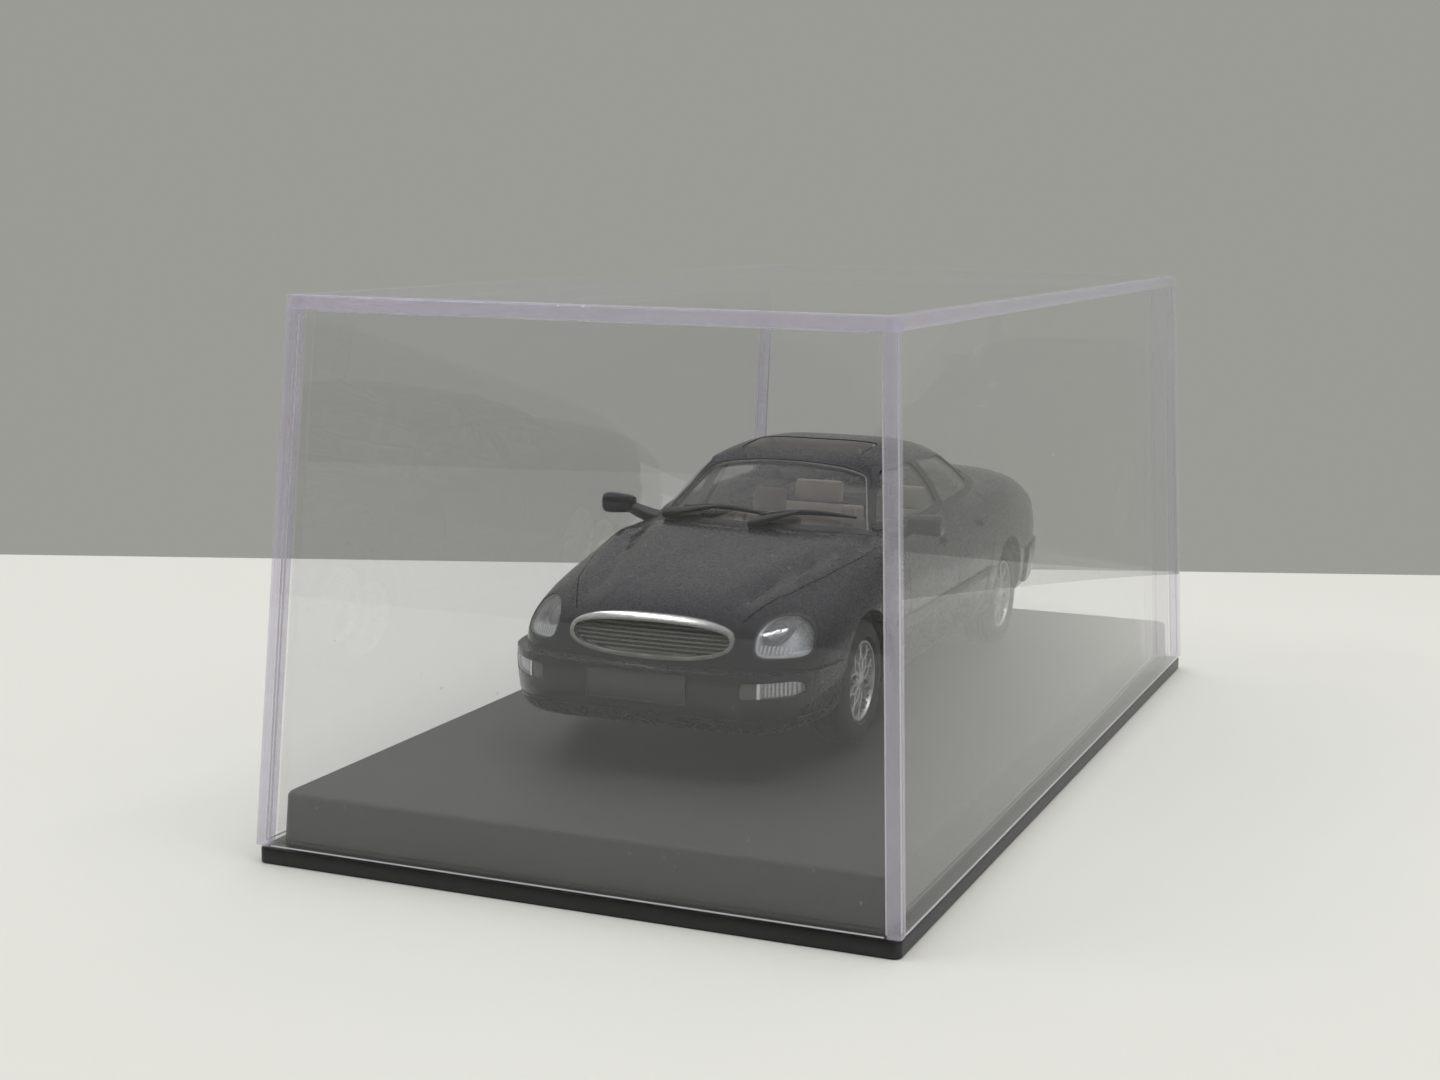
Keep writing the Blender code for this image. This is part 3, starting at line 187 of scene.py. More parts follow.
def twin(obj):
    """The same piece on the car's right side."""
    copy = add_object(obj.name, obj.data.copy())
    flip = Matrix.Translation((2 * CAR_X * MM, 0, 0)) @ Matrix.Scale(-1, 4, (1, 0, 0))
    copy.data.transform(flip)
    copy.data.flip_normals()
    return copy


def place(obj, name, material, body, *nodes, slot=None, angle=0.6):
    """Name, paint and shade a piece, make it ride on a body and stand for CAD nodes."""
    obj.name = name
    obj.data.name = name
    obj.data.materials.clear()
    obj.data.materials.append(material)
    obj.data.shade_smooth()
    obj.data.set_sharp_from_angle(angle=angle)
    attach(obj, body)
    if nodes:
        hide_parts(*nodes)
    return obj


def both(obj, name, material, *nodes, slot=None, angle=0.6, body=BASE):
    """A piece and its mirror image."""
    for piece, hand in ((twin(obj), "_right"), (obj, "_left")):
        place(piece, name + hand, material, body, *[node + hand for node in nodes], slot=slot,
              angle=angle)


def skin(rings, closed=False):
    """Faces between neighbouring rings, and from the last ring to the first if closed."""
    bm = bmesh.new()
    loops = [[bm.verts.new(point) for point in ring] for ring in rings]
    count = len(loops[0])
    for near, far in zip(loops, loops[1:] + loops[:1] if closed else loops[1:]):
        for i in range(count):
            j = (i + 1) % count
            bm.faces.new((near[i], near[j], far[j], far[i]))
    return bm, loops


def loft(rings):
    bm, loops = skin(rings)
    bm.faces.new(loops[0])
    bm.faces.new(list(reversed(loops[-1])))
    return new_object("loft", bm)


def prism(outline, where, low, high):
    return loft([[where(u, v, w) for u, v in outline] for w in (low, high)])


def box(low, high):
    bm = bmesh.new()
    bmesh.ops.create_cube(bm, size=1.0)
    for vertex in bm.verts:
        vertex.co = [a + (b - a) * (c + 0.5) for a, b, c in zip(low, high, vertex.co)]
    return new_object("box", bm)


def car_box(low, high):
    return box(car(*low), car(*high))


def cylinder(start, end, radius, segments=32, end_radius=None):
    start, end = Vector(start), Vector(end)
    bm = bmesh.new()
    bmesh.ops.create_cone(bm, cap_ends=True, segments=segments, radius1=radius,
                          radius2=radius if end_radius is None else end_radius,
                          depth=(end - start).length)
    turn = Vector((0, 0, 1)).rotation_difference(end - start).to_matrix().to_4x4()
    bmesh.ops.transform(bm, matrix=Matrix.Translation((start + end) / 2) @ turn, verts=bm.verts)
    return new_object("cylinder", bm)


def band(points, width, where, low, high):
    """Prism that follows a 2D line, width wide, from low to high."""
    points = [Vector(p) for p in points]
    rings = []
    for i, point in enumerate(points):
        ahead, behind = points[min(i + 1, len(points) - 1)], points[max(i - 1, 0)]
        direction = (ahead - behind).normalized()
        off = Vector((-direction.y, direction.x)) * width / 2
        a, b = point + off, point - off
        rings.append([where(a.x, a.y, low), where(b.x, b.y, low),
                      where(b.x, b.y, high), where(a.x, a.y, high)])
    return loft(rings)


def rounded_rectangle(half_x, half_y, radius, steps=6, centre=(0.0, 0.0)):
    points = []
    for corner in range(4):
        sign_x = 1 if corner in (0, 3) else -1
        sign_y = 1 if corner in (0, 1) else -1
        for step in range(steps + 1):
            angle = (corner + step / steps) * pi / 2
            points.append((centre[0] + sign_x * (half_x - radius) + radius * cos(angle),
                           centre[1] + sign_y * (half_y - radius) + radius * sin(angle)))
    return points


def turned(profile, centre, segments):
    """Body turned about an X axis through centre, from closed (x, radius) points."""
    bm, _ = skin([[(centre[0] + x, centre[1] + r * cos(a), centre[2] + r * sin(a))
                   for x, r in profile] for a in turns(segments)], closed=True)
    bmesh.ops.remove_doubles(bm, verts=bm.verts, dist=1e-5)
    bmesh.ops.dissolve_degenerate(bm, edges=bm.edges, dist=1e-6)
    return new_object("turned", bm)


def grown(outline, amount):
    points = [Vector(point) for point in outline]
    area = sum(a.x * b.y - b.x * a.y for a, b in zip(points, points[1:] + points[:1]))
    sign = 1 if area > 0 else -1
    moved = []
    for i, point in enumerate(points):
        before = (point - points[i - 1]).normalized()
        after = (points[(i + 1) % len(points)] - point).normalized()
        normal = Vector((before.y + after.y, -before.x - after.x)).normalized()
        edge = Vector((before.y, -before.x))
        moved.append(tuple(point + normal * (sign * amount / max(normal.dot(edge), 0.4))))
    return moved


def rounded_corners(outline, radius, steps=4):
    """Outline with each corner turned into a short curve."""
    points = [Vector(p) for p in outline]
    result = []
    for i, point in enumerate(points):
        before, after = points[i - 1], points[(i + 1) % len(points)]
        if (point - before).angle(after - point) < 0.3:
            result.append(tuple(point))
            continue
        reach_before = min(radius, (before - point).length * 0.45)
        reach_after = min(radius, (after - point).length * 0.45)
        start = point + (before - point).normalized() * reach_before
        end = point + (after - point).normalized() * reach_after
        for step in range(steps + 1):
            t = step / steps
            result.append(tuple(start * (1 - t)**2 + point * 2 * t * (1 - t) + end * t**2))
    return result


# ---- Body form ------------------------------------------------------------------------------
def smooth(knots, s):
    """Value at s of a curve through the knots that never overshoots them."""
    if s <= knots[0][0]:
        return knots[0][1]
    if s >= knots[-1][0]:
        return knots[-1][1]
    slopes = [(b[1] - a[1]) / (b[0] - a[0]) for a, b in zip(knots, knots[1:])]
    tangents = [slopes[0]]
    for left, right in zip(slopes, slopes[1:]):
        tangents.append(0.0 if left * right <= 0 else 2 * left * right / (left + right))
    tangents.append(slopes[-1])
    i = max(k for k in range(len(knots) - 1) if knots[k][0] <= s)
    span = knots[i + 1][0] - knots[i][0]
    t = (s - knots[i][0]) / span
    return ((2 * t**3 - 3 * t**2 + 1) * knots[i][1] + (t**3 - 2 * t**2 + t) * span * tangents[i]
            + (3 * t**2 - 2 * t**3) * knots[i + 1][1] + (t**3 - t**2) * span * tangents[i + 1])


def ramp(low, high, s):
    t = min(max((s - low) / (high - low), 0.0), 1.0)
    return t * t * (3 - 2 * t)


def corner_angles(count, aspect, spread=0.5):
    angles = []
    for i in range(count + 1):
        t = i / count
        gathered = atan2(aspect * sin(t * pi / 2), cos(t * pi / 2))
        angles.append((1 - spread) * t * pi / 2 + spread * gathered)
    return angles


def superellipse(half_x, half_h, power, angle):
    reach = (abs(cos(angle)) / half_x)**power + (abs(sin(angle)) / half_h)**power
    reach = reach**(-1 / power)
    return reach * cos(angle), reach * sin(angle)


def bulge(half, share, power):
    return half * abs(share)**(2 / power) * (1 if share > 0 else -1)


def oval(half_x, half_h, power, steps):
    return [(bulge(half_x, cos(a), power), bulge(half_h, sin(a), power)) for a in turns(steps)]


def relief(x, s):
    """Bonnet creases, with a slight dome between them, and the wings' crowns over the headlamps."""
    crease = 9.6 + 6.4 * ramp(2, 36, s) * 0.9
    fade = ramp(3.0, 9, s) * (1 - ramp(30, 36, s))
    valley = -0.6 * exp(-((abs(x) - crease) / 1.0)**2)
    crown = 0.5 * exp(-((abs(x) - crease - 2.2) / 1.5)**2)
    dome = 0.22 * (1 - ramp(crease - 3.0, crease, abs(x)))
    lamp = 0.30 * exp(-((abs(x) - 15.0) / 2.6)**2 - ((s - 8.0) / 4.0)**2)
    return (valley + crown + dome) * fade + lamp


def lower_ring(s, inset, around):
    width = smooth(HALF_WIDTH, s) - inset
    middle = smooth(BOTTOM, s) + BELLY * (smooth(TOP, s) - smooth(BOTTOM, s))
    top = max(smooth(TOP, s) - inset, middle + THINNEST)
    bottom = min(smooth(BOTTOM, s) + inset, middle - THINNEST)
    crown = CROWN * ramp(2, 16, s)
    upper = []
    for angle in corner_angles(around, (top - middle) / width):
        x, rise = superellipse(width, top - middle, smooth(SHOULDER, s), angle)
        share = rise / (top - middle)
        x = x * (1 - TUMBLE * share**2)
        h = middle + rise - crown * share * (x / width)**2 + relief(x, s) * share**3
        upper.append((x, h))
    lower = []
    for angle in corner_angles(around, (middle - bottom) / width):
        x, drop = superellipse(width, middle - bottom, SILL_ROUNDNESS, angle)
        share = drop / (middle - bottom)
        lower.append((x * (1 - TURN_UNDER * share**2), middle - drop))
    right = list(reversed(lower))[:-1] + upper
    left = [(-x, h) for x, h in reversed(right[1:-1])]
    station = inset + s * (LENGTH - 2 * inset) / LENGTH
    return [car(x, station, h) for x, h in right + left]


def lower_body(inset=0.0, count=None, around=None):
    count = count or (130)
    around = around or (26)
    rings = []
    for i in range(count + 1):
        t = i / count
        eased = t - 0.145 * sin(2 * pi * t)
        s = LENGTH * (0.35 * t + 0.65 * (1 - cos(pi * eased)) / 2)
        rings.append(lower_ring(s, inset, around))
    return loft(rings)


BUMPER_REACH, BUMPER_TOP, BUMPER_END = 2.5, 12.0, 12.0


def bumper_form(inset=0.0, count=None, around=None):
    """The lower body brought forward; its nose is the front bumper's skin."""
    form = lower_body(inset, count, around)
    form.data.transform(Matrix.Translation((0, -BUMPER_REACH * MM, 0)))
    return form


def roof_height(x, s, inset=0.0):
    bend = (x / SCREEN_HALF_WIDTH)**2
    shift = SCREEN_SWEEP * bend * (1 - ramp(42, 56, s)) - REAR_SWEEP * bend * ramp(66, 78, s)
    return max(smooth(ROOF, s - shift) - inset, CABIN_BASE + 0.3)


def cabin_ring(s, inset, around):
    width = smooth(CABIN_HALF_WIDTH, s) - inset
    height = roof_height(0.0, s, inset) - CABIN_BASE
    arch = []
    for angle in corner_angles(around, height / width):
        x, rise = superellipse(width, height, CABIN_ROUNDNESS, angle)
        lean = 1 - CABIN_LEAN * rise / (HEIGHT - CABIN_BASE)
        x = x * lean
        swept = (roof_height(x, s, inset) - CABIN_BASE) / height
        arch.append((x, CABIN_BASE + rise * swept))
    ring = arch + [(-x, h) for x, h in reversed(arch[:-1])]
    return [car(x, s, h) for x, h in ring]


def cabin(inset=0.0, count=None, around=None):
    count = count or (72)
    around = around or (22)
    step = (CABIN_END - CABIN_START) / count
    return loft([cabin_ring(CABIN_START + step * i, inset, around) for i in range(count + 1)])


def between(form, shape, outer, inner):
    """Part of a form's skin inside a shape, between two depths under the skin."""
    return cut(common(form(outer), shape), form(inner))


def skin_patch(form, outline, where, low, high, outer, inner):
    return between(form, prism(outline, where, low, high), outer, inner)


# ---- Outlines -------------------------------------------------------------------------------
LAMP_CENTRE, LAMP_LEAN = (15.2, 14.85), 0.13
LAMP_HALF_WIDTH, LAMP_RISE, LAMP_DROP = 2.78, 2.85, 1.5
LAMP_DOME, LAMP_FOOT = 2.1, 4.0


def headlamp_outline(grow=0.0, steps=40):
    """Dome with a nearly flat foot, leaning a little towards the grille."""
    points = []
    for angle in turns(steps):
        upper = sin(angle) >= 0
        power = LAMP_DOME if upper else LAMP_FOOT
        x = bulge(LAMP_HALF_WIDTH, cos(angle), power)
        h = bulge(LAMP_RISE if upper else LAMP_DROP, sin(angle), power)
        points.append((LAMP_CENTRE[0] + x - LAMP_LEAN * h, LAMP_CENTRE[1] + h))
    return grown(points, grow) if grow else points


GRILLE_LEVEL = 15.0


def grille_outline(inset=0.0, steps=72):
    return [(x, GRILLE_LEVEL + h) for x, h in oval(10.2 - inset, 2.3 - inset, 2.5, steps)]


BUMPER_LAMP = rounded_corners([(12.3, 9.3), (17.4, 9.35), (18.3, 9.8), (18.3, 10.8),
                               (17.5, 11.2), (12.3, 11.1)], 0.35)
SUNROOF = rounded_rectangle(8.6, 4.3, 1.2, centre=(0, 53.6))
FRONT_WINDOW = rounded_corners([(38.6, 24.0), (57.0, 24.4), (57.0, 30.0), (47.6, 29.7)], 0.8)
REAR_WINDOW = rounded_corners([(59.0, 24.45), (73.4, 24.9), (75.2, 25.6), (70.6, 29.5),
                               (59.0, 30.0)], 0.8)
QUARTER_WINDOW = rounded_corners([(76.6, 25.3), (80.9, 25.9), (73.4, 29.4), (72.6, 29.0)], 0.35)
TAIL_LAMP = rounded_corners([(4.6, 17.8), (18.8, 17.8), (18.8, 20.6), (4.6, 20.6)], 0.5)
FRONT_PLATE = rounded_rectangle(6.2, 1.7, 0.25, centre=(0, 9.9))
REAR_PLATE = rounded_rectangle(6.05, 1.45, 0.25, centre=(0, 14.4))


def screen_base(x, back=0.0):
    """Station of the windscreen's foot, which sweeps back towards its corners."""
    return 32.3 + back + SCREEN_SWEEP * (x / SCREEN_HALF_WIDTH)**2


def windscreen_outline():
    base = [(x, screen_base(x)) for x in spaced(-14.4, 14.4, 24)]
    return rounded_corners(base + [(11.0, 45.6), (5.5, 45.3), (-5.5, 45.3), (-11.0, 45.6)], 0.6)


def rear_screen_outline():
    base = [(x, 87.6 - REAR_SWEEP * (x / SCREEN_HALF_WIDTH)**2) for x in spaced(13.6, -13.6, 20)]
    return rounded_corners(base + [(-11.0, 74.6), (0.0, 75.0), (11.0, 74.6)], 0.6)


SCREENS = {"windscreen": windscreen_outline(), "rear_screen": rear_screen_outline()}
SCREEN_SPAN, SIDE_SPAN, REAR_SPAN = (21.0, 34.0), (10.0, 24.0), (104.0, 118.0)


# ---- Materials ------------------------------------------------------------------------------
class Look:
    """A node material with helpers for procedural detail in object space."""

    def __init__(self, name):
        self.material = bpy.data.materials.new(name)
        self.material.use_nodes = True
        self.tree = self.material.node_tree
        self.shader = self.tree.nodes["Principled BSDF"]
        self.output = self.tree.nodes["Material Output"]
        self.where = self.tree.nodes.new('ShaderNodeTexCoord').outputs["Object"]

    def node(self, kind, inputs=None, **values):
        node = self.tree.nodes.new(kind)
        for key, value in values.items():
            setattr(node, key, value)
        for key, value in (inputs or {}).items():
            node.inputs[key].default_value = value
        return node

    def link(self, a, b):
        self.tree.links.new(a, b)

    def noise(self, scale, detail=4.0, rough=0.5):
        node = self.node('ShaderNodeTexNoise',
                         {"Scale": scale, "Detail": detail, "Roughness": rough})
        self.link(self.where, node.inputs["Vector"])
        return node.outputs["Fac"]

    def voronoi(self, scale):
        node = self.node('ShaderNodeTexVoronoi', {"Scale": scale})
        self.link(self.where, node.inputs["Vector"])
        return node.outputs["Distance"]

    def ramp(self, source, stops):
        node = self.node('ShaderNodeValToRGB')
        for element, (position, color) in zip(node.color_ramp.elements, stops):
            element.position = position
            element.color = (*color, 1.0)
        self.link(source, node.inputs["Fac"])
        return node.outputs["Color"]

    def spread(self, source, low, high, start=0.0, end=1.0):
        node = self.node('ShaderNodeMapRange', {"From Min": start, "From Max": end,
                                                "To Min": low, "To Max": high})
        self.link(source, node.inputs["Value"])
        return node.outputs["Result"]

    def mix(self, factor, a, b):
        node = self.node('ShaderNodeMix', data_type='RGBA')
        self.link(factor, node.inputs["Factor"])
        for value, socket in ((a, node.inputs[6]), (b, node.inputs[7])):
            if isinstance(value, tuple):
                socket.default_value = (*value, 1.0)
            else:
                self.link(value, socket)
        return node.outputs[2]

    def blend(self, factor, a, b):
        """Mix of two shaders."""
        node = self.node('ShaderNodeMixShader')
        for socket, value in zip(node.inputs, (factor, a, b)):
            self.link(value, socket)
        return node.outputs["Shader"]

    def bump(self, source, strength, distance):
        node = self.node('ShaderNodeBump', {"Strength": strength, "Distance": distance})
        self.link(source, node.inputs["Height"])
        return node.outputs["Normal"]

    def set(self, **values):
        for key, value in values.items():
            socket = self.shader.inputs[key.replace("_", " ")]
            if isinstance(value, (int, float)):
                socket.default_value = value
            else:
                self.link(value, socket)


def plain(name, dark, light, rough=(0.4, 0.55), metallic=0.0, scale=900, grain=0.15, coat=0.0,
          specular=0.5):
    """Moulded or painted surface: mottled colour, uneven gloss and a fine grain."""
    look = Look(name)
    blotch = look.noise(scale * 0.25)
    fine = look.noise(scale * 4, detail=3.0)
    look.set(Base_Color=look.mix(blotch, dark, light), Metallic=metallic,
             Roughness=look.spread(fine, rough[0], rough[1], 0.3, 0.7),
             Normal=look.bump(fine, grain, 0.00004), Specular_IOR_Level=specular)
    if coat:
        look.set(Coat_Weight=coat, Coat_Roughness=0.05)
    return look.material


def paint_material():
    """Blue-black lacquer: fine flake under a clear coat, with specks of dust on top."""
    look = Look("midnight_lacquer")
    sparkle = look.ramp(look.voronoi(9000), [(0.0, (0.016, 0.017, 0.028)),
                                             (0.55, (0.006, 0.007, 0.012))])
    cloud = look.noise(260)
    base = look.mix(look.spread(cloud, 0.0, 0.5, 0.3, 0.7), sparkle, (0.011, 0.011, 0.018))
    dust = look.noise(2600, detail=2.0)
    specks = look.ramp(dust, [(0.78, (0, 0, 0)), (0.82, (1, 1, 1))])
    peel = look.noise(700, detail=1.0)
    look.set(Base_Color=look.mix(specks, base, (0.10, 0.10, 0.10)), Metallic=0.0,
             Roughness=look.spread(dust, 0.22, 0.38, 0.3, 0.8),
             Normal=look.bump(peel, 0.05, 0.00006), Coat_Weight=0.45, Coat_IOR=1.32,
             Coat_Roughness=0.04, Specular_IOR_Level=0.12, IOR=1.5)
    return look.material


def clear_material(name, tint, gloss, haze, haze_color=(0.8, 0.8, 0.82), specks=0.0, ior=1.49):
    """Thin clear plastic: lets light straight through and mirrors more at grazing angles."""
    look = Look(name)
    look.tree.nodes.remove(look.shader)
    through = look.node('ShaderNodeBsdfTransparent', {"Color": (*tint, 1.0)})
    shine = look.node('ShaderNodeBsdfGlossy', {"Roughness": gloss, "Color": (1.0, 1.0, 1.0, 1.0)})
    fresnel = look.node('ShaderNodeFresnel')
    back = look.node('ShaderNodeNewGeometry').outputs["Backfacing"]
    look.link(look.spread(back, ior, 1 / ior), fresnel.inputs["IOR"])
    clear = look.blend(fresnel.outputs["Fac"], through.outputs["BSDF"], shine.outputs["BSDF"])
    film = look.node('ShaderNodeBsdfDiffuse', {"Color": (*haze_color, 1.0)})
    amount = look.spread(look.noise(260, detail=2.0), haze * 0.85, haze * 1.15, 0.3, 0.7)
    if specks:
        spot = look.spread(look.noise(1500, detail=1.5), 0.0, specks, 0.76, 0.80)
        adder = look.node('ShaderNodeMath', operation='ADD', use_clamp=True)
        look.link(amount, adder.inputs[0])
        look.link(spot, adder.inputs[1])
        amount = adder.outputs["Value"]
    look.link(look.blend(amount, clear, film.outputs["BSDF"]), look.output.inputs["Surface"])
    return look.material


def platform_material():
    """Matt moulded plastic with a fine spark-eroded texture and a little dust."""
    look = Look("plinth_texture")
    grain = look.noise(7000, detail=3.0, rough=0.6)
    blotch = look.noise(45, detail=3.0)
    dust = look.ramp(look.noise(1700, detail=2.0), [(0.70, (0, 0, 0)), (0.78, (1, 1, 1))])
    base = look.mix(blotch, (0.040, 0.041, 0.038), (0.056, 0.057, 0.053))
    speckled = look.mix(look.spread(grain, 0.0, 1.0, 0.42, 0.66), base, (0.085, 0.086, 0.080))
    look.set(Base_Color=look.mix(dust, speckled, (0.22, 0.22, 0.21)),
             Roughness=look.spread(grain, 0.48, 0.72, 0.3, 0.7),
             Normal=look.bump(grain, 0.4, 0.00005))
    return look.material


PAINT = paint_material()
COVER_CLEAR = clear_material("cover_clear", (0.985, 0.985, 0.99), 0.012, haze=0.003, specks=0.25)
# Painted light: pale hazy strips in the cover's corners and top edges stand in for the bright bands
# of the thick walls.
COVER_EDGE_PAINTED_LIGHT = clear_material("cover_edge", (0.95, 0.93, 0.975), 0.08, haze=0.22,
                            haze_color=(0.88, 0.87, 0.96))
# Painted highlight: pale material for the bright lines along the cover's edges.
EDGE_GLINT = plain("cover_glint", (0.66, 0.65, 0.70), (0.86, 0.85, 0.90), (0.1, 0.2))
PANE = clear_material("window_clear_look", (0.90, 0.91, 0.90), 0.02, haze=0.008, ior=1.36)
LENS = clear_material("lens_clear", (0.95, 0.96, 0.97), 0.03, haze=0.05)
RED_LENS = clear_material("lens_red", (0.55, 0.03, 0.03), 0.05, haze=0.35,
                          haze_color=(0.45, 0.01, 0.015))
PLATFORM = platform_material()
FLANGE = plain("flange_satin", (0.010, 0.010, 0.011), (0.016, 0.016, 0.017), (0.28, 0.4))
CHROME = plain("bright_plate", (0.40, 0.40, 0.385), (0.52, 0.52, 0.505), (0.14, 0.22), 1.0,
               scale=500, grain=0.05)
SILVER = plain("reflector_silver", (0.72, 0.73, 0.74), (0.86, 0.87, 0.88), (0.22, 0.34), 0.85)
ALLOY = plain("alloy_silver", (0.40, 0.41, 0.40), (0.56, 0.57, 0.56), (0.3, 0.45), 0.75)
RUBBER = plain("tyre_black", (0.010, 0.010, 0.010), (0.022, 0.022, 0.022), (0.62, 0.8),
               grain=0.3)
SATIN = plain("satin_black", (0.010, 0.010, 0.010), (0.020, 0.020, 0.020), (0.4, 0.55))
SEAL = plain("seal_black", (0.006, 0.006, 0.007), (0.012, 0.012, 0.013), (0.35, 0.5))
TRIM = plain("cabin_beige", (0.42, 0.325, 0.265), (0.54, 0.43, 0.355), (0.6, 0.75),
             scale=1500, grain=0.35)
DARK_TRIM = plain("cabin_dark", (0.035, 0.033, 0.032), (0.055, 0.052, 0.050), (0.55, 0.7),
                  grain=0.3)
STEEL = plain("screw_metal", (0.42, 0.42, 0.43), (0.58, 0.58, 0.58), (0.28, 0.42), 1.0)
SLAT = plain("slat_olive", (0.11, 0.11, 0.085), (0.17, 0.165, 0.13), (0.25, 0.4), 0.3)
BLANK = plain("plate_dark", (0.016, 0.017, 0.024), (0.024, 0.025, 0.034), (0.25, 0.38))
SMOKED = plain("sunroof_smoked", (0.022, 0.015, 0.012), (0.032, 0.022, 0.018), (0.12, 0.2),
               coat=0.25, specular=0.15)
FOIL = plain("mirror_foil", (0.6, 0.61, 0.63), (0.72, 0.73, 0.75), (0.08, 0.14), 1.0, grain=0.02)
LAMP_WHITE = plain("lamp_white", (0.66, 0.67, 0.68), (0.84, 0.85, 0.86), (0.15, 0.28), 0.1)
LAMP_BOWL = plain("lamp_bowl", (0.42, 0.43, 0.44), (0.62, 0.63, 0.64), (0.2, 0.35), 0.35)
GLOSS_BLACK = plain("projector_black", (0.012, 0.012, 0.014), (0.03, 0.03, 0.034), (0.16, 0.24),
                    coat=0.3, specular=0.3)
GLASS_EDGE = plain("glass_edge", (0.16, 0.165, 0.155), (0.24, 0.245, 0.235), (0.2, 0.35))
GREY_LENS = clear_material("lens_grey", (0.50, 0.50, 0.47), 0.05, haze=0.3,
                           haze_color=(0.25, 0.25, 0.23))


# ---- Case -----------------------------------------------------------------------------------
LEAN, COVER_TOP = COVER_DRAFT / COVER_HEIGHT, COVER_BASE + COVER_HEIGHT
HALF_CASE = CASE_WIDTH / 2, CASE_LENGTH / 2
SIGNS = (-1, 1)
SQUARE = ((-1, -1), (1, -1), (1, 1), (-1, 1))


def block(inset, rows, steps=8):
    """Rounded block inside the case's foot, from (further inset, height, corner radius) rows."""
    return loft([[(x, y, z) for x, y in rounded_rectangle(
        HALF_CASE[0] - inset - further, HALF_CASE[1] - inset - further, radius, steps)]
        for further, z, radius in rows])


def build_cover():
    """Five walls in one moulding, with tiny rounds on the outer edges."""
    edge, round_steps = 0.45, 4
    rows = [(0.12, COVER_BASE, 0.8), (LEAN * 0.15, COVER_BASE + 0.15, 0.9)]
    for turn in spaced(0.0, pi / 2, round_steps):
        fall, draw = edge * (1 - sin(turn)), edge * (1 - cos(turn))
        rows.append((LEAN * (COVER_HEIGHT - fall) + draw, COVER_TOP - fall, max(0.9 - draw, 0.3)))
    below, high = 1.0, COVER_HEIGHT - COVER_WALL
    return cut(block(0.0, rows), block(COVER_WALL, [(-LEAN * below, COVER_BASE - below, 0.3),
                                                    (LEAN * high, COVER_BASE + high, 0.3)]))


def post(sx, sy, depth_x, depth_y, half, low, high):
    """Square bar up a corner of the cover, following its draft."""
    rings = []
    for z in (low, high):
        draw = LEAN * (z - COVER_BASE)
        x, y = sx * (HALF_CASE[0] - draw - depth_x), sy * (HALF_CASE[1] - draw - depth_y)
        rings.append([(x + half * a, y + half * b, z) for a, b in SQUARE])
    return loft(rings)


def bars_round(depth, level, half, short_x, short_y, low, high):
    """Four bars along the cover's walls, at the walls' place at one level."""
    x, y = [size - LEAN * (level - COVER_BASE) - depth for size in HALF_CASE]
    return ([box((sx * x - half, short_y - y, low), (sx * x + half, y - short_y, high))
             for sx in SIGNS]
            + [box((short_x - x, sy * y - half, low), (x - short_x, sy * y + half, high))
               for sy in SIGNS])


def build_edge_glow():
    """Hazy strips buried in the cover's corners and along its top edges: painted light standing in
    for the pale bands that the thick clear walls show where they meet.
    """
    mid, gap = COVER_WALL / 2, 0.06
    half = mid - gap
    strips = [post(sx, sy, mid, mid, half, COVER_BASE + 0.1, COVER_TOP - COVER_WALL - 0.02)
              for sx in SIGNS for sy in SIGNS]
    return merge("edges", strips + bars_round(mid, COVER_TOP - mid, half, -half, half + 0.05,
                                              COVER_TOP - COVER_WALL + gap, COVER_TOP - gap))


def build_edge_glints():
    """Painted highlights: fine bright lines where the walls meet, under the top's rim, at the foot
    and up the corners.
    """
    thin, short = 0.13, 1.7
    pieces = []
    for z, depth in ((COVER_TOP - COVER_WALL - thin - 0.08, COVER_WALL - 0.2),
                     (COVER_BASE + 0.08, 0.2)):
        pieces += bars_round(depth, z, thin / 2, short, short, z, z + thin)
    for sx in SIGNS:
        for sy in SIGNS:
            for dx, dy in ((0.25, COVER_WALL - 0.15), (COVER_WALL - 0.15, 0.25)):
                pieces.append(post(sx, sy, dx + 0.2, dy, thin / 2, COVER_BASE + 0.4,
                                   COVER_TOP - COVER_WALL - 0.4))
    return merge("glints", pieces)


def build_plinth():
    tall = PLATFORM_TOP - FLANGE_THICKNESS
    wall_foot = COVER_WALL + COVER_FIT
    hollow_foot = (0.0, -1.0, 0.8)
    flange = block(FLANGE_INSET, [
        (0.15, 0.0, 0.8), (0.0, 0.15, 0.9), (0.0, FLANGE_THICKNESS - 0.2, 0.9),
        (0.06, FLANGE_THICKNESS - 0.06, 0.9), (0.2, FLANGE_THICKNESS, 0.8)])
    edge = 0.5
    rows = [(0.0, FLANGE_THICKNESS - 0.05, PLATFORM_CORNER)]
    for turn in spaced(0.0, pi / 2, 5):
        fall = edge * (1 - sin(turn))
        rows.append((edge * (1 - cos(turn)) + LEAN * (tall - fall), PLATFORM_TOP - fall,
                     PLATFORM_CORNER))
    platform = block(wall_foot, rows, 10)
    cut(platform, block(wall_foot + PLINTH_WALL, [hollow_foot,
                                                  (0.6, PLATFORM_TOP - PLINTH_WALL, 0.8)]))
    cut(flange, block(wall_foot + PLINTH_WALL, [hollow_foot, (0.5, FLANGE_THICKNESS + 1.0, 0.8)]))
    for station in (39.0, 69.0):
        x, y, _ = car(0, station, 0)
        join(platform, cylinder((x, y, 2.0), (x, y, PLATFORM_TOP - 0.9), 3.2, 48))
        cut(platform, cylinder((x, y, -1), (x, y, PLATFORM_TOP + 1), 1.15, 32))
    return platform, flange


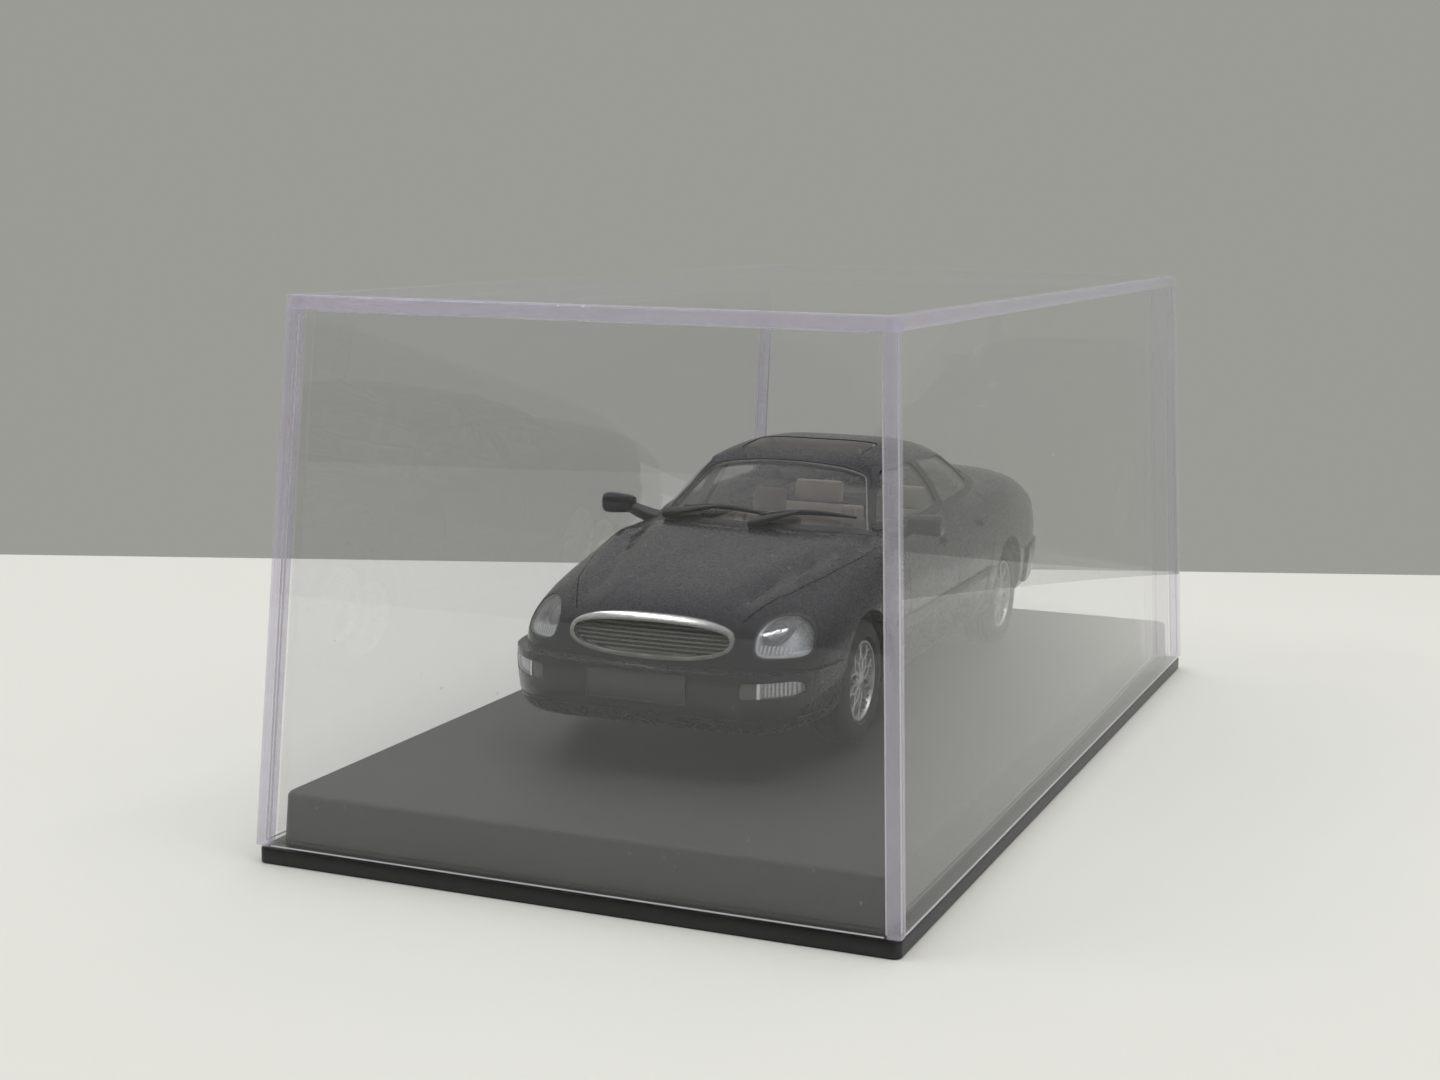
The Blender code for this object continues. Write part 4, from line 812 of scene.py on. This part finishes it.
platform, flange = build_plinth()
CASE_EDGE_ANGLE = 0.5
for obj, name, material, body, nodes, slot in (
        (platform, "plinth_platform", PLATFORM, BASE, ["plinth"], "plinth_black"),
        (flange, "plinth_flange", FLANGE, BASE, [], "plinth_black"),
        (build_cover(), "display_cover", COVER_CLEAR, LID, ["cover"], "clear_acrylic"),
        (build_edge_glow(), "cover_edges", COVER_EDGE_PAINTED_LIGHT, LID, [], "clear_acrylic"),
        (build_edge_glints(), "cover_glints", EDGE_GLINT, LID, [], "clear_acrylic")):
    place(obj, name, material, body, *nodes, slot=slot, angle=CASE_EDGE_ANGLE)


# ---- Body shell -----------------------------------------------------------------------------
WHEEL_CENTRES = {"front": (along(FRONT_AXLE), ROAD + TYRE_RADIUS),
                 "rear": (along(REAR_AXLE), ROAD + TYRE_RADIUS)}
ARCH_GAP = 1.15


DOOR_LINES = [
    [(36.9, 23.7), (36.3, 20), (36.1, 15), (36.4, 10.5), (37.3, 8.0), (38.4, 7.6), (56, 7.6),
     (72.2, 7.6), (72.7, 9.0), (73.2, 11.4), (75.0, 14.0), (76.6, 17.5), (76.9, 21.0),
     (76.3, 24.0)],
    [(57.95, 7.6), (57.9, 16), (57.9, 24.0), (57.95, 30.5)],
]
FRAME_LINE = [(37.2, 23.9), (42.6, 27.6), (47.0, 30.3), (52, 30.75), (58, 30.85), (66, 30.6),
              (71.0, 30.0), (74.0, 28.2), (76.2, 24.3)]
DOOR_LINE_WIDTH, LID_LINE_WIDTH = 0.24, 0.14


def shut_lines():
    """Left side's door, bonnet and boot lines, as narrow prisms."""
    tools = [band(line, DOOR_LINE_WIDTH, side, 13.0, 24.0) for line in DOOR_LINES + [FRAME_LINE]]
    bonnet = [(10.0, 2.6), (10.9, 4.2), (12.4, 7.6), (13.6, 10.5), (15.4, 18.0), (17.0, 27.0),
              (17.4, 32.4)]
    boot = [(16.2, 84.0), (16.5, 92.0), (16.0, 102.0), (14.4, 107.8), (10, 109.3), (5, 109.8),
            (-1, 109.9)]
    return tools + [band(line, LID_LINE_WIDTH, plan, 17.0, 28.0) for line in (bonnet, boot)]


def whole(half):
    """Mirror a half body across the car's centre plane and sew the halves together."""
    centre = CAR_X * MM
    bm = bmesh.new()
    bm.from_mesh(half.data)
    everything = list(bm.verts) + list(bm.edges) + list(bm.faces)
    bmesh.ops.bisect_plane(bm, geom=everything, plane_co=(centre, 0, 0), plane_no=(1, 0, 0),
                           clear_inner=True, dist=1e-7)
    copied = bmesh.ops.duplicate(bm, geom=list(bm.verts) + list(bm.edges) + list(bm.faces))["geom"]
    verts = [item for item in copied if isinstance(item, bmesh.types.BMVert)]
    faces = [item for item in copied if isinstance(item, bmesh.types.BMFace)]
    for vertex in verts:
        vertex.co.x = 2 * centre - vertex.co.x
    bmesh.ops.reverse_faces(bm, faces=faces)
    bmesh.ops.remove_doubles(bm, verts=bm.verts, dist=2e-7)
    bm.to_mesh(half.data)
    bm.free()
    return half


def build_body():
    """Painted shell: a left half with its openings, hollowed, cut by its lines and mirrored."""
    shelf = common(bumper_form(), car_box((-30, -5, 0), (30, BUMPER_END, BUMPER_TOP)))
    body = join(lower_body(), bevel(shelf, 0.3, 4))
    join(body, cabin())
    cut(body, box((CAR_X - 60, -100, 0), (CAR_X - 1.5, 100, 80)))
    opening = [(-17.4, 6.0), (17.4, 6.0), (17.4, 103.0), (-17.4, 103.0)]
    cut(body, lower_body(1.2, 60, 10))
    cut(body, prism(opening, plan, -2.0, 8.4))
    cut(body, cabin(0.8, 40, 12))
    for y, z in WHEEL_CENTRES.values():
        cut(body, cylinder((CAR_X - 40, y, z), (CAR_X + 40, y, z), TYRE_RADIUS + ARCH_GAP, 96))
    for window in (FRONT_WINDOW, REAR_WINDOW, QUARTER_WINDOW):
        cut(body, prism(window, side, 10, 40))
    for screen in SCREENS.values():
        cut(body, prism(screen, plan, WINDOW_FLOOR - 0.6, HEIGHT + 1))
    for outline, low, high in ((grille_outline(), -3, 7.0), (headlamp_outline(), -3, 10.0),
                               (BUMPER_LAMP, -3, 10.0), (TAIL_LAMP, 103, 116)):
        cut(body, prism(outline, front, low, high))
    inner = join(lower_body(0.3, 80, 16), cabin(0.3, 44, 14))
    for tool in shut_lines():
        cut(body, cut(tool, add_object("deep", inner.data.copy())))
    bpy.data.objects.remove(inner, do_unlink=True)
    for low, high in (((-3, 100.5, 12.9), (30, 118, 13.2)), ((-3, 104, 13.3), (8, 118, 16.4))):
        cut(body, cut(car_box(low, high), lower_body(0.42, 90, 16)))
    cut(body, cut(car_box((-3, -6, 6.75), (30, 9.0, 6.98)), bumper_form(0.35, 90, 16)))
    cut(body, cut(prism(SUNROOF, plan, 30.0, HEIGHT + 1), cabin(0.4, 40, 14)))
    return whole(body)


place(build_body(), "car_body", PAINT, BASE, "body_shell", slot="midnight_paint", angle=0.55)

# ---- Glass ----------------------------------------------------------------------------------
def pane(outline, where, low, high):
    return skin_patch(cabin, grown(outline, -0.02), where, low, high, 0.22, 0.5)


def seal(outline, where, low, high, reach, start, outer, inner):
    """Ring between two offsets of an outline, lying in the cabin's skin."""
    ring = prism(grown(outline, reach), where, low, high)
    cut(ring, prism(grown(outline, start), where, low - 1, high + 1))
    return between(cabin, ring, outer, inner)


for name, outline in SCREENS.items():
    place(pane(outline, plan, *SCREEN_SPAN), name, PANE, BASE, "glazing", slot="window_clear")
    place(seal(outline, plan, *SCREEN_SPAN, 0.36, -0.02, -0.02, 0.3), name + "_seal", SEAL, BASE,
          slot="dark_plastic")
    place(seal(outline, plan, *SCREEN_SPAN, -0.04, -0.27, 0.1, 0.3), name + "_edge", GLASS_EDGE,
          BASE, slot="window_clear")
for name, outline in (("front_window", FRONT_WINDOW), ("rear_window", REAR_WINDOW),
                      ("quarter_window", QUARTER_WINDOW)):
    glass = pane(outline, side, *SIDE_SPAN)
    rubber = seal(outline, side, *SIDE_SPAN, 0.42, -0.02, -0.03, 0.3)
    both(glass, name, PANE, slot="window_clear")
    both(rubber, name + "_seal", SEAL, slot="dark_plastic")


def build_scuttle():
    """Dark strip between the bonnet and the windscreen."""
    xs = spaced(-15.4, 15.4, 40)
    outline = [(x, screen_base(x, -1.15)) for x in xs]
    outline += [(x, screen_base(x, 0.45)) for x in reversed(xs)]
    strip = common(join(lower_body(-0.04, 80, 16), cabin(-0.04, 44, 14)),
                   prism(outline, plan, 20.0, 30.0))
    return cut(strip, join(lower_body(0.35, 60, 12), cabin(0.35, 40, 12)))


place(build_scuttle(), "scuttle", SEAL, BASE, slot="dark_plastic")
sunroof = skin_patch(cabin, grown(SUNROOF, -0.16), plan, 30.0, 34.0, 0.06, 0.36)
place(bevel(sunroof, 0.05), "sunroof_glass", SMOKED, BASE, "sunroof_panel", slot="dark_gloss")


# ---- Front and rear trim --------------------------------------------------------------------
def front_skin(outline, outer, inner, low=-3.0, high=10.0):
    return skin_patch(lower_body, outline, front, low, high, outer, inner)


def grille_window():
    """Opening inside the surround: the upper lip is about twice as deep as the lower."""
    points = []
    for x, h in grille_outline(0.0):
        rise = h - GRILLE_LEVEL
        points.append((x * 0.962, GRILLE_LEVEL + rise * (0.66 if rise > 0 else 0.86)))
    return points


def build_grille_ring():
    ring = prism(grown(grille_outline(), 0.12), front, -3.0, 7.0)
    cut(ring, prism(grille_window(), front, -4.0, 8.0))
    return bevel(between(lower_body, ring, -0.32, 0.7), 0.16, 3, 0.7)


def bars(count, low, high, step, high_step=None):
    """Row of bars, each one step further along."""
    return merge("bars", [car_box([a + s * i for a, s in zip(low, step)],
                                  [b + s * i for b, s in zip(high, high_step or step)])
                          for i in range(count)])


def bars_in(row, outline, form, outer, inner, low=-3.0, high=12.0):
    """The part of a row of bars inside an outline and between two depths under a skin."""
    row = common(row, prism(outline, front, low, high))
    return cut(common(row, form(outer)), form(inner))


place(build_grille_ring(), "grille_ring", CHROME, BASE, "grille_surround", slot="bright_trim")
slats = bars_in(bars(8, (-11, -3, 13.1), (11, 8, 13.25), (0, 0, 0.46)),
                grown(grille_window(), 0.1), lower_body, 0.32, 1.25, high=8.0)
place(slats, "grille_slats", SLAT, BASE, "grille_insert", slot="dark_plastic")
place(front_skin(grown(grille_outline(), 0.1), 1.1, 1.5, -3.0, 7.0), "grille_back", SEAL, BASE,
      slot="dark_plastic")


PROJECTOR = (14.05, 15.75)


def circle(radius, steps=28):
    x, h = PROJECTOR
    return [(x + radius * cos(a), h + radius * sin(a)) for a in turns(steps)]


def ring_skin(outline, inside, outer, inner):
    """Ring between two outlines, between two depths under the front skin."""
    ring = cut(prism(outline, front, -3.0, 12.0), prism(inside, front, -4.0, 13.0))
    return between(lower_body, ring, outer, inner)


both(front_skin(headlamp_outline(-0.04), 0.03, 0.26), "headlamp_glass", LENS, "headlamp_lens",
     slot="lamp_clear")
both(front_skin(headlamp_outline(-0.05), 1.25, 1.7), "headlamp_bowl", LAMP_BOWL,
     "headlamp_reflector", slot="lamp_silver")
both(ring_skin(headlamp_outline(-0.03), headlamp_outline(-0.3), 0.3, 1.3), "headlamp_wall",
     LAMP_WHITE, slot="lamp_silver")
both(ring_skin(headlamp_outline(0.16), headlamp_outline(-0.02), -0.03, 0.3), "headlamp_gasket",
     SEAL, slot="dark_plastic")
both(bevel(front_skin(circle(1.02), 0.72, 1.4), 0.12, 3), "projector", GLOSS_BLACK,
     slot="dark_gloss")
both(bevel(ring_skin(circle(1.24), circle(1.02), 0.6, 1.4), 0.06), "projector_ring", DARK_TRIM,
     slot="dark_plastic")
flutes = bars(9, (12.6, -3, 13.2), (12.78, 12, 14.7), (0.42, 0, 0), (0.42, 0, -0.03))
both(bars_in(flutes, headlamp_outline(-0.35), lower_body, 0.27, 0.5), "headlamp_flutes",
     LAMP_WHITE, slot="lamp_clear")


# Bumper lamps: a dark inner part and a clear outer one, parted by a bright divider.
def lamp_part(low, high, outer, inner):
    part = skin_patch(bumper_form, grown(BUMPER_LAMP, -0.04), front, -4.0, 10.0, outer, inner)
    return common(part, car_box((low, -4, 8), (high, 14, 13)))


both(lamp_part(10, 14.1, 0.05, 0.3), "fog_glass", GREY_LENS, "bumper_lamp", slot="lamp_clear")
both(lamp_part(14.4, 22, 0.05, 0.3), "indicator_glass", LENS, slot="lamp_clear")
both(lamp_part(14.1, 14.4, -0.02, 0.6), "bumper_lamp_divider", LAMP_WHITE, slot="lamp_silver")
both(lamp_part(10, 14.2, 0.7, 1.0), "fog_bowl", DARK_TRIM, slot="dark_plastic")
both(lamp_part(14.3, 22, 0.6, 1.0), "indicator_bowl", LAMP_BOWL, slot="lamp_silver")
ribs = bars(11, (14.7, -3, 9.2), (14.84, 12, 11.4), (0.36, 0, 0))
both(bars_in(ribs, grown(BUMPER_LAMP, -0.12), bumper_form, 0.32, 0.5), "indicator_ribs",
     LAMP_WHITE, slot="lamp_clear")

# The rear bumper stands proud of the body, with rounded upper and lower edges.
bumper = between(lower_body, car_box((-30, 97.5, 7.4), (30, 118, 12.85)), -0.38, 0.3)
place(bevel(bumper, 0.22, 3), "rear_bumper", PAINT, BASE, slot="midnight_paint", angle=0.8)


def plate_frame(outline, margin, form, outer, inner, low, high):
    inside = prism(grown(outline, -margin), front, low - 1, high + 1)
    return between(form, cut(prism(outline, front, low, high), inside), outer, inner)


front_plate = bevel(skin_patch(bumper_form, FRONT_PLATE, front, -4.0, 2.0, -0.3, 0.3), 0.08)
place(front_plate, "front_plate_panel", BLANK, BASE, "front_number_plate", slot="plate_blank")
rear_plate = bevel(front_skin(REAR_PLATE, -0.05, 0.5, *REAR_SPAN), 0.08)
place(rear_plate, "rear_plate_panel", BLANK, BASE, "rear_number_plate", slot="plate_blank")
place(plate_frame(FRONT_PLATE, 0.2, bumper_form, -0.38, 0.0, -4, 2), "front_plate_frame", SATIN,
      BASE, slot="dark_plastic")
place(plate_frame(REAR_PLATE, 0.22, lower_body, -0.1, 0.1, *REAR_SPAN), "rear_plate_frame",
      SATIN, BASE, slot="dark_plastic")

# Tail lamps: a red lens with raised ribs over a silver bowl.
tail_inside = grown(TAIL_LAMP, -0.06)
both(front_skin(tail_inside, 0.02, 0.8, 103.0, 118.0), "tail_lens", RED_LENS, "tail_lamp",
     slot="lamp_red")
tail_ribs = bars(4, (4.7, 102, 18.3), (18.7, 118, 18.45), (0, 0, 0.55))
both(bars_in(tail_ribs, grown(TAIL_LAMP, -0.12), lower_body, -0.08, 0.3, 102, 118), "tail_ribs",
     RED_LENS, slot="lamp_red")
both(front_skin(tail_inside, 0.85, 1.15, 103.0, 118.0), "tail_bowl", SILVER, slot="lamp_silver")
strip = front_skin([(-4.4, 18.6), (4.4, 18.6), (4.4, 19.6), (-4.4, 19.6)], -0.34, 0.2, 106.0, 118.0)
place(bevel(strip, 0.12, 3), "boot_bar", CHROME, BASE, "boot_strip", slot="bright_trim")

# ---- Side trim and handles ------------------------------------------------------------------
RUBBING_STRIP = rounded_corners([(31.5, 12.3), (74.6, 12.6), (74.6, 13.5), (31.5, 13.2)], 0.3)
rubbing = skin_patch(lower_body, RUBBING_STRIP, side, 15.0, 24.0, -0.36, 0.2)
both(bevel(rubbing, 0.14, 3), "rubbing_strip", SATIN, "side_trim", slot="dark_plastic")
for name, station in (("front", 53.6), ("rear", 71.2)):
    pocket = rounded_rectangle(1.7, 0.75, 0.5, centre=(station, 20.3))
    both(skin_patch(lower_body, pocket, side, 14.0, 24.0, -0.06, 0.2), name + "_handle_cup", SEAL,
         slot="dark_plastic")
    grip = rounded_rectangle(1.9, 0.36, 0.3, centre=(station, 20.45))
    grip = skin_patch(lower_body, grip, side, 14.0, 24.0, -0.5, 0.1)
    both(bevel(grip, 0.12, 3), name + "_handle_grip", PAINT, name + "_door_handle",
         slot="midnight_paint")
belt = [(37.6, 23.55), (57.0, 23.95), (73.4, 24.4), (81.5, 25.2)]
belt = between(cabin, band(belt, 0.4, side, *SIDE_SPAN), -0.16, 0.1)
both(belt, "belt_moulding", SATIN, slot="dark_plastic")


# ---- Mirrors --------------------------------------------------------------------------------
MIRROR_X, MIRROR_STATION, MIRROR_HEIGHT = 21.35, 38.4, 24.3


def build_door_mirror():
    """Rounded housing drawn along X, whose outer end is nearly flat, open at the back."""
    half_x, half_y, half_z, power, levels = 2.35, 1.3, 1.5, 4.5, 20
    rings = []
    for i in range(levels + 1):
        t = -1 + 2 * i / levels
        reach = max(1 - abs(t)**power, 0.0)**(1 / power) * (1.0 - 0.12 * (1 - t))
        reach = max(reach, 0.02)
        rings.append([car(MIRROR_X + half_x * t, MIRROR_STATION + y * reach,
                          MIRROR_HEIGHT + z * reach) for y, z in oval(half_y, half_z, 2.6, 36)])
    shell = loft(rings)
    cut(shell, car_box((10, 39.15, 20), (30, 45, 30)))
    pocket = rounded_rectangle(1.85, 1.12, 0.55, centre=(MIRROR_X, MIRROR_HEIGHT))
    return cut(shell, prism(pocket, front, 38.8, 45))


def build_mirror_foot():
    """Short thick arm from the door's front corner up to the housing."""
    rings = []
    for x, s, h, rs, rh in ((15.6, 40.2, 22.2, 1.6, 1.0), (17.4, 39.4, 22.8, 1.4, 0.95),
                            (18.6, 38.9, 23.3, 1.2, 0.9), (19.4, 38.6, 23.7, 1.0, 0.85),
                            (20.2, 38.4, 24.1, 0.85, 0.85)):
        rings.append([car(x, s + y, h + z) for y, z in oval(rs, rh, 2.4, 24)])
    return loft(rings)


both(build_door_mirror(), "mirror_shell", PAINT, "door_mirror", slot="midnight_paint", angle=0.45)
both(build_mirror_foot(), "mirror_foot", SATIN, slot="dark_plastic", angle=0.9)
glass = rounded_rectangle(1.8, 1.07, 0.5, centre=(MIRROR_X, MIRROR_HEIGHT))
glass = prism(glass, front, 38.85, 39.02)
both(glass, "mirror_pane", FOIL, "mirror_glass", slot="mirror_silver")


# ---- Wipers ---------------------------------------------------------------------------------
def on_screen(x, s, lift):
    return Vector(car(x, s, roof_height(x, s) + lift))


def build_wiper_arm(pivot, knee):
    """Broad wedge from the pivot that narrows towards the blade's middle."""
    rings = []
    for t in spaced(0.0, 1.0, 10):
        x = pivot + (knee - pivot) * t
        point = on_screen(x, screen_base(x, -0.55 + 2.3 * t), 0.32 + 0.3 * t)
        size = 0.95 * (1 - t)**0.8 + 0.22
        rings.append([point + Vector((0, size * 1.1 * cos(a), size * 0.62 * sin(a) + size * 0.25))
                      for a in turns(12)])
    return loft(rings)


def build_wiper_blade(start, end):
    rings = []
    for t in spaced(0.0, 1.0, 18):
        x = start + (end - start) * t
        point = on_screen(x, screen_base(x, 1.35 + 0.75 * sin(pi * t)), 0.34)
        size = 0.36 * (0.35 + 0.65 * sin(pi * min(max(t, 0.06), 0.94)))
        rings.append([point + Vector((0, size * 0.8 * cos(a), size * sin(a))) for a in turns(8)])
    return loft(rings)


WIPERS = {"left": (0.2, 5.6, 0.6, 12.6), "right": (-13.2, -5.4, -11.0, 2.2)}
for name, (pivot, knee, start, end) in WIPERS.items():
    place(merge("wiper", [build_wiper_arm(pivot, knee), build_wiper_blade(start, end)]),
          "wiper_arm_" + name, SATIN, BASE, "wiper_" + name, slot="dark_plastic", angle=0.9)


# ---- Wheels ---------------------------------------------------------------------------------
RIM_HALF, WHEEL_SEGMENTS = TYRE_WIDTH / 2 - 0.35, 96


def tyre_profile():
    half, bore, r = TYRE_WIDTH / 2, RIM_RADIUS + 0.05, TYRE_RADIUS
    tread = []
    for x in (-1.2, -0.4, 0.4, 1.2):
        tread += [(x - 0.16, r), (x - 0.11, r - 0.28), (x + 0.11, r - 0.28), (x + 0.16, r)]
    wall = [(-half + 0.3, bore), (-half, bore + 0.35), (-half + 0.02, bore + 0.6),
            (-half, bore + 1.3), (-half + 0.12, r - 0.75), (-half + 0.35, r - 0.3),
            (-half + 0.75, r - 0.05), (-half + 1.0, r)]
    return wall + tread + [(-x, h) for x, h in reversed(wall)]


BARREL = [(x + RIM_HALF * sign, RIM_RADIUS - drop) for sign, x, drop in (
    (-1, 0.0, 0.5), (-1, 0.0, 0.02), (1, -0.02, 0.02), (1, 0.06, 0.12), (1, 0.04, 0.3),
    (1, -0.25, 0.45), (1, -1.3, 0.62))]
DISC = [(RIM_HALF + x, r) for x, r in ((-2.1, 0.9), (-2.1, 4.4), (-1.75, 4.4), (-1.7, 4.2),
                                       (-1.7, 2.2), (-1.5, 2.0), (-1.5, 0.9))]
HUB = [(RIM_HALF + x, r) for x, r in ((-1.6, 0.0), (-1.6, 1.35), (-0.35, 1.3), (-0.12, 1.05),
                                      (-0.02, 0.75), (0.08, 0.55), (0.12, 0.0))]
SPOKE_PAIRS, SPOKE_LEAN, BOLT_RADIUS = 10, 0.42, 4.25
SPOKE_ROWS = ((0.9, -0.25, -0.35, 0.26, 0.3), (2.4, 0.2, -0.42, 0.21, 0.28),
              (4.5, 1.0, -0.5, 0.19, 0.3))
SPOKE_SECTION = ((-1, -1), (1, -1), (0.7, 0.9), (0, 1.15), (-0.7, 0.9))


def build_spokes(centre):
    """Crossed thin spokes from a small hub, with a bead where each pair meets the barrel."""
    centre = Vector(centre)
    pieces = []
    for turn in turns(SPOKE_PAIRS):
        for lean in (-SPOKE_LEAN, SPOKE_LEAN):
            rings = []
            for r, swing, x, wide, deep in SPOKE_ROWS:
                angle = turn + lean * swing
                tangent = Vector((0, -sin(angle), cos(angle)))
                middle = centre + Vector((RIM_HALF + x, r * cos(angle), r * sin(angle)))
                rings.append([middle + tangent * (wide * a) + Vector((deep * b, 0, 0))
                              for a, b in SPOKE_SECTION])
            pieces.append(loft(rings))
        bolt = centre + Vector((RIM_HALF - 0.25, BOLT_RADIUS * cos(turn), BOLT_RADIUS * sin(turn)))
        pieces.append(cylinder(bolt - Vector((0.3, 0, 0)), bolt + Vector((0.12, 0, 0)), 0.2, 8,
                               0.12))
    return merge("spokes", pieces + [turned(HUB, centre, 40)])


for name, body in (("front", FRONT), ("rear", REAR)):
    centre = (CAR_X + WHEEL_X, *WHEEL_CENTRES[name])
    both(turned(tyre_profile(), centre, WHEEL_SEGMENTS), name + "_tread", RUBBER, name + "_tyre",
         slot="tyre_rubber", body=body)
    both(turned(BARREL, centre, WHEEL_SEGMENTS), name + "_barrel", ALLOY, name + "_rim",
         slot="alloy_paint", body=body)
    both(build_spokes(centre), name + "_spokes", ALLOY, slot="alloy_paint", body=body)
    both(turned(DISC, centre, 48), name + "_disc", DARK_TRIM, slot="dark_plastic", body=body)

# ---- Seats ----------------------------------------------------------------------------------
def seat_prism(low, high, outline, left, right, soft):
    """Padded block from a side outline given in shares of the seat's box."""
    across, deep, tall = (b - a for a, b in zip(low, high))
    points = [(low[1] + u * deep, low[2] + v * tall) for u, v in outline]
    block = loft([[(low[0] + share * across, y, z) for y, z in points] for share in (left, right)])
    return bevel(block, soft, 4)


CUSHION = [(0.0, 0.0), (0.62, 0.0), (0.62, 0.27), (0.3, 0.3), (0.0, 0.33)]
BACKREST = [(0.50, 0.05), (0.72, 0.05), (0.99, 0.76), (0.86, 0.80), (0.80, 0.76)]
HEADREST = [(0.86, 0.81), (0.97, 0.80), (1.0, 0.98), (0.91, 1.0)]


def build_seat(node, places):
    """Cushion, backrest with bolsters, and a headrest for each place."""
    low, high = [[value / MM for value in corner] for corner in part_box(node)]
    parts = [seat_prism(low, high, CUSHION, 0.0, 1.0, 0.6),
             seat_prism(low, high, BACKREST, 0.0, 1.0, 0.6)]
    proud = [(u - 0.045, v) for u, v in BACKREST]
    count = len(places)
    for i, centre in enumerate(places):
        for left, right in ((0.04, 0.2), (0.8, 0.96)):
            parts.append(seat_prism(low, high, proud, (i + left) / count, (i + right) / count, 0.4))
        reach = 0.25 / count
        parts.append(seat_prism(low, high, HEADREST, centre - reach, centre + reach, 0.5))
    return merge("seat", parts)


for name in ("front_seat_left", "front_seat_right"):
    place(build_seat(name, (0.5,)), name + "_cover", TRIM, BASE, name, slot="cabin_trim")
place(build_seat("rear_bench", (0.25, 0.75)), "rear_bench_cover", TRIM, BASE, "rear_bench",
      slot="cabin_trim")

# ---- CAD pieces that keep their shape ---------------------------------------------------------
KEPT = {
    "spacer_front": SATIN, "spacer_rear": SATIN, "chassis": SATIN, "exhaust_pipe": STEEL,
    "plinth_screw_front": STEEL, "plinth_screw_rear": STEEL, "body_screw_front": STEEL,
    "body_screw_rear": STEEL, "front_axle": STEEL, "rear_axle": STEEL, "cabin_tub": TRIM,
    "dashboard": DARK_TRIM, "steering_wheel": DARK_TRIM, "parcel_shelf": DARK_TRIM,
    "inner_mirror": SEAL,
}
for name, material in KEPT.items():
    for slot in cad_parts[name].material_slots:
        slot.material = material


# ---- Stage, lights and camera ----------------------------------------------------------------
AZIMUTH, ELEVATION, ROLL = radians(22.324), radians(9.067), radians(0.830)
CAMERA_PLACE, FOCAL_LENGTH = Vector((96.57, -266.25, 73.58)) * MM, 53.335
BACK = Vector((sin(AZIMUTH) * cos(ELEVATION), -cos(AZIMUTH) * cos(ELEVATION), sin(ELEVATION)))
RIGHT = Vector((cos(AZIMUTH), sin(AZIMUTH), 0.0))
UP = BACK.cross(RIGHT)


def build_camera():
    data = bpy.data.cameras.new("camera")
    data.lens = FOCAL_LENGTH
    data.sensor_width = 36.0
    data.clip_start = 0.005
    data.clip_end = 20.0
    camera = add_object("camera", data)
    across = RIGHT * cos(ROLL) + UP * sin(ROLL)
    upward = UP * cos(ROLL) - RIGHT * sin(ROLL)
    axes = Matrix((across, upward, BACK)).transposed().to_4x4()
    camera.matrix_world = Matrix.Translation(CAMERA_PLACE) @ axes
    bpy.context.scene.camera = camera


def tube_light(name, location):
    """Long narrow lamp that looks at the object."""
    data = bpy.data.lights.new(name, 'AREA')
    data.shape = 'RECTANGLE'
    data.size, data.size_y = 0.5, 0.06
    data.energy = 1.5
    light = add_object(name, data)
    light.location = location
    light.rotation_euler = (-Vector(location)).to_track_quat('-Z', 'Y').to_euler()


def build_world():
    """Plain wall all round, brightening towards the ceiling and darker behind the viewer."""
    world = bpy.data.worlds.new("room")
    bpy.context.scene.world = world
    world.use_nodes = True
    tree = world.node_tree
    where = tree.nodes.new('ShaderNodeTexCoord')
    split = tree.nodes.new('ShaderNodeSeparateXYZ')
    shade = tree.nodes.new('ShaderNodeValToRGB')
    stops = shade.color_ramp.elements
    stops[0].position, stops[0].color = 0.22, (0.325, 0.33, 0.30, 1.0)
    stops[1].position, stops[1].color = 0.95, (1.14, 1.13, 1.12, 1.0)
    shade.color_ramp.interpolation = 'EASE'
    behind = tree.nodes.new('ShaderNodeMapRange')
    for socket, value in (("From Min", -0.75), ("From Max", -0.15), ("To Min", 0.25)):
        behind.inputs[socket].default_value = value
    dim = tree.nodes.new('ShaderNodeMix')
    dim.data_type = 'RGBA'
    dim.inputs[6].default_value = (0.0, 0.0, 0.0, 1.0)
    for output, socket in ((where.outputs["Generated"], split.inputs["Vector"]),
                           (split.outputs["Z"], shade.inputs["Fac"]),
                           (split.outputs["Y"], behind.inputs["Value"]),
                           (behind.outputs["Result"], dim.inputs["Factor"]),
                           (shade.outputs["Color"], dim.inputs[7]),
                           (dim.outputs[2], tree.nodes["Background"].inputs["Color"])):
        tree.links.new(output, socket)


def floor_material():
    look = Look("table_cloth")
    weave = look.noise(1400, detail=2.0)
    look.set(Base_Color=look.mix(look.noise(9), (0.83, 0.83, 0.785), (0.88, 0.88, 0.84)),
             Roughness=0.85, Normal=look.bump(weave, 0.2, 0.0001))
    return look.material


TABLE_FAR, TABLE_NEAR, TABLE_SIDE = 0.146, 1.4, 1.2
toward = Vector((-BACK.x, -BACK.y, 0)).normalized()
corners = [toward * TABLE_FAR + RIGHT * TABLE_SIDE, toward * TABLE_FAR - RIGHT * TABLE_SIDE,
           -toward * TABLE_NEAR - RIGHT * TABLE_SIDE, -toward * TABLE_NEAR + RIGHT * TABLE_SIDE]
table_mesh = bpy.data.meshes.new("table")
table_mesh.from_pydata([c - Vector((0, 0, 0.00002)) for c in corners], [], [(0, 1, 2, 3)])
table_mesh.materials.append(floor_material())
table_obj = add_object("table", table_mesh)
build_world()
tube_light("tube_left", (-0.55, -0.45, 1.0))
tube_light("tube_right", (0.35, -0.15, 1.0))
build_camera()
bpy.context.scene.view_settings.view_transform = 'Standard'
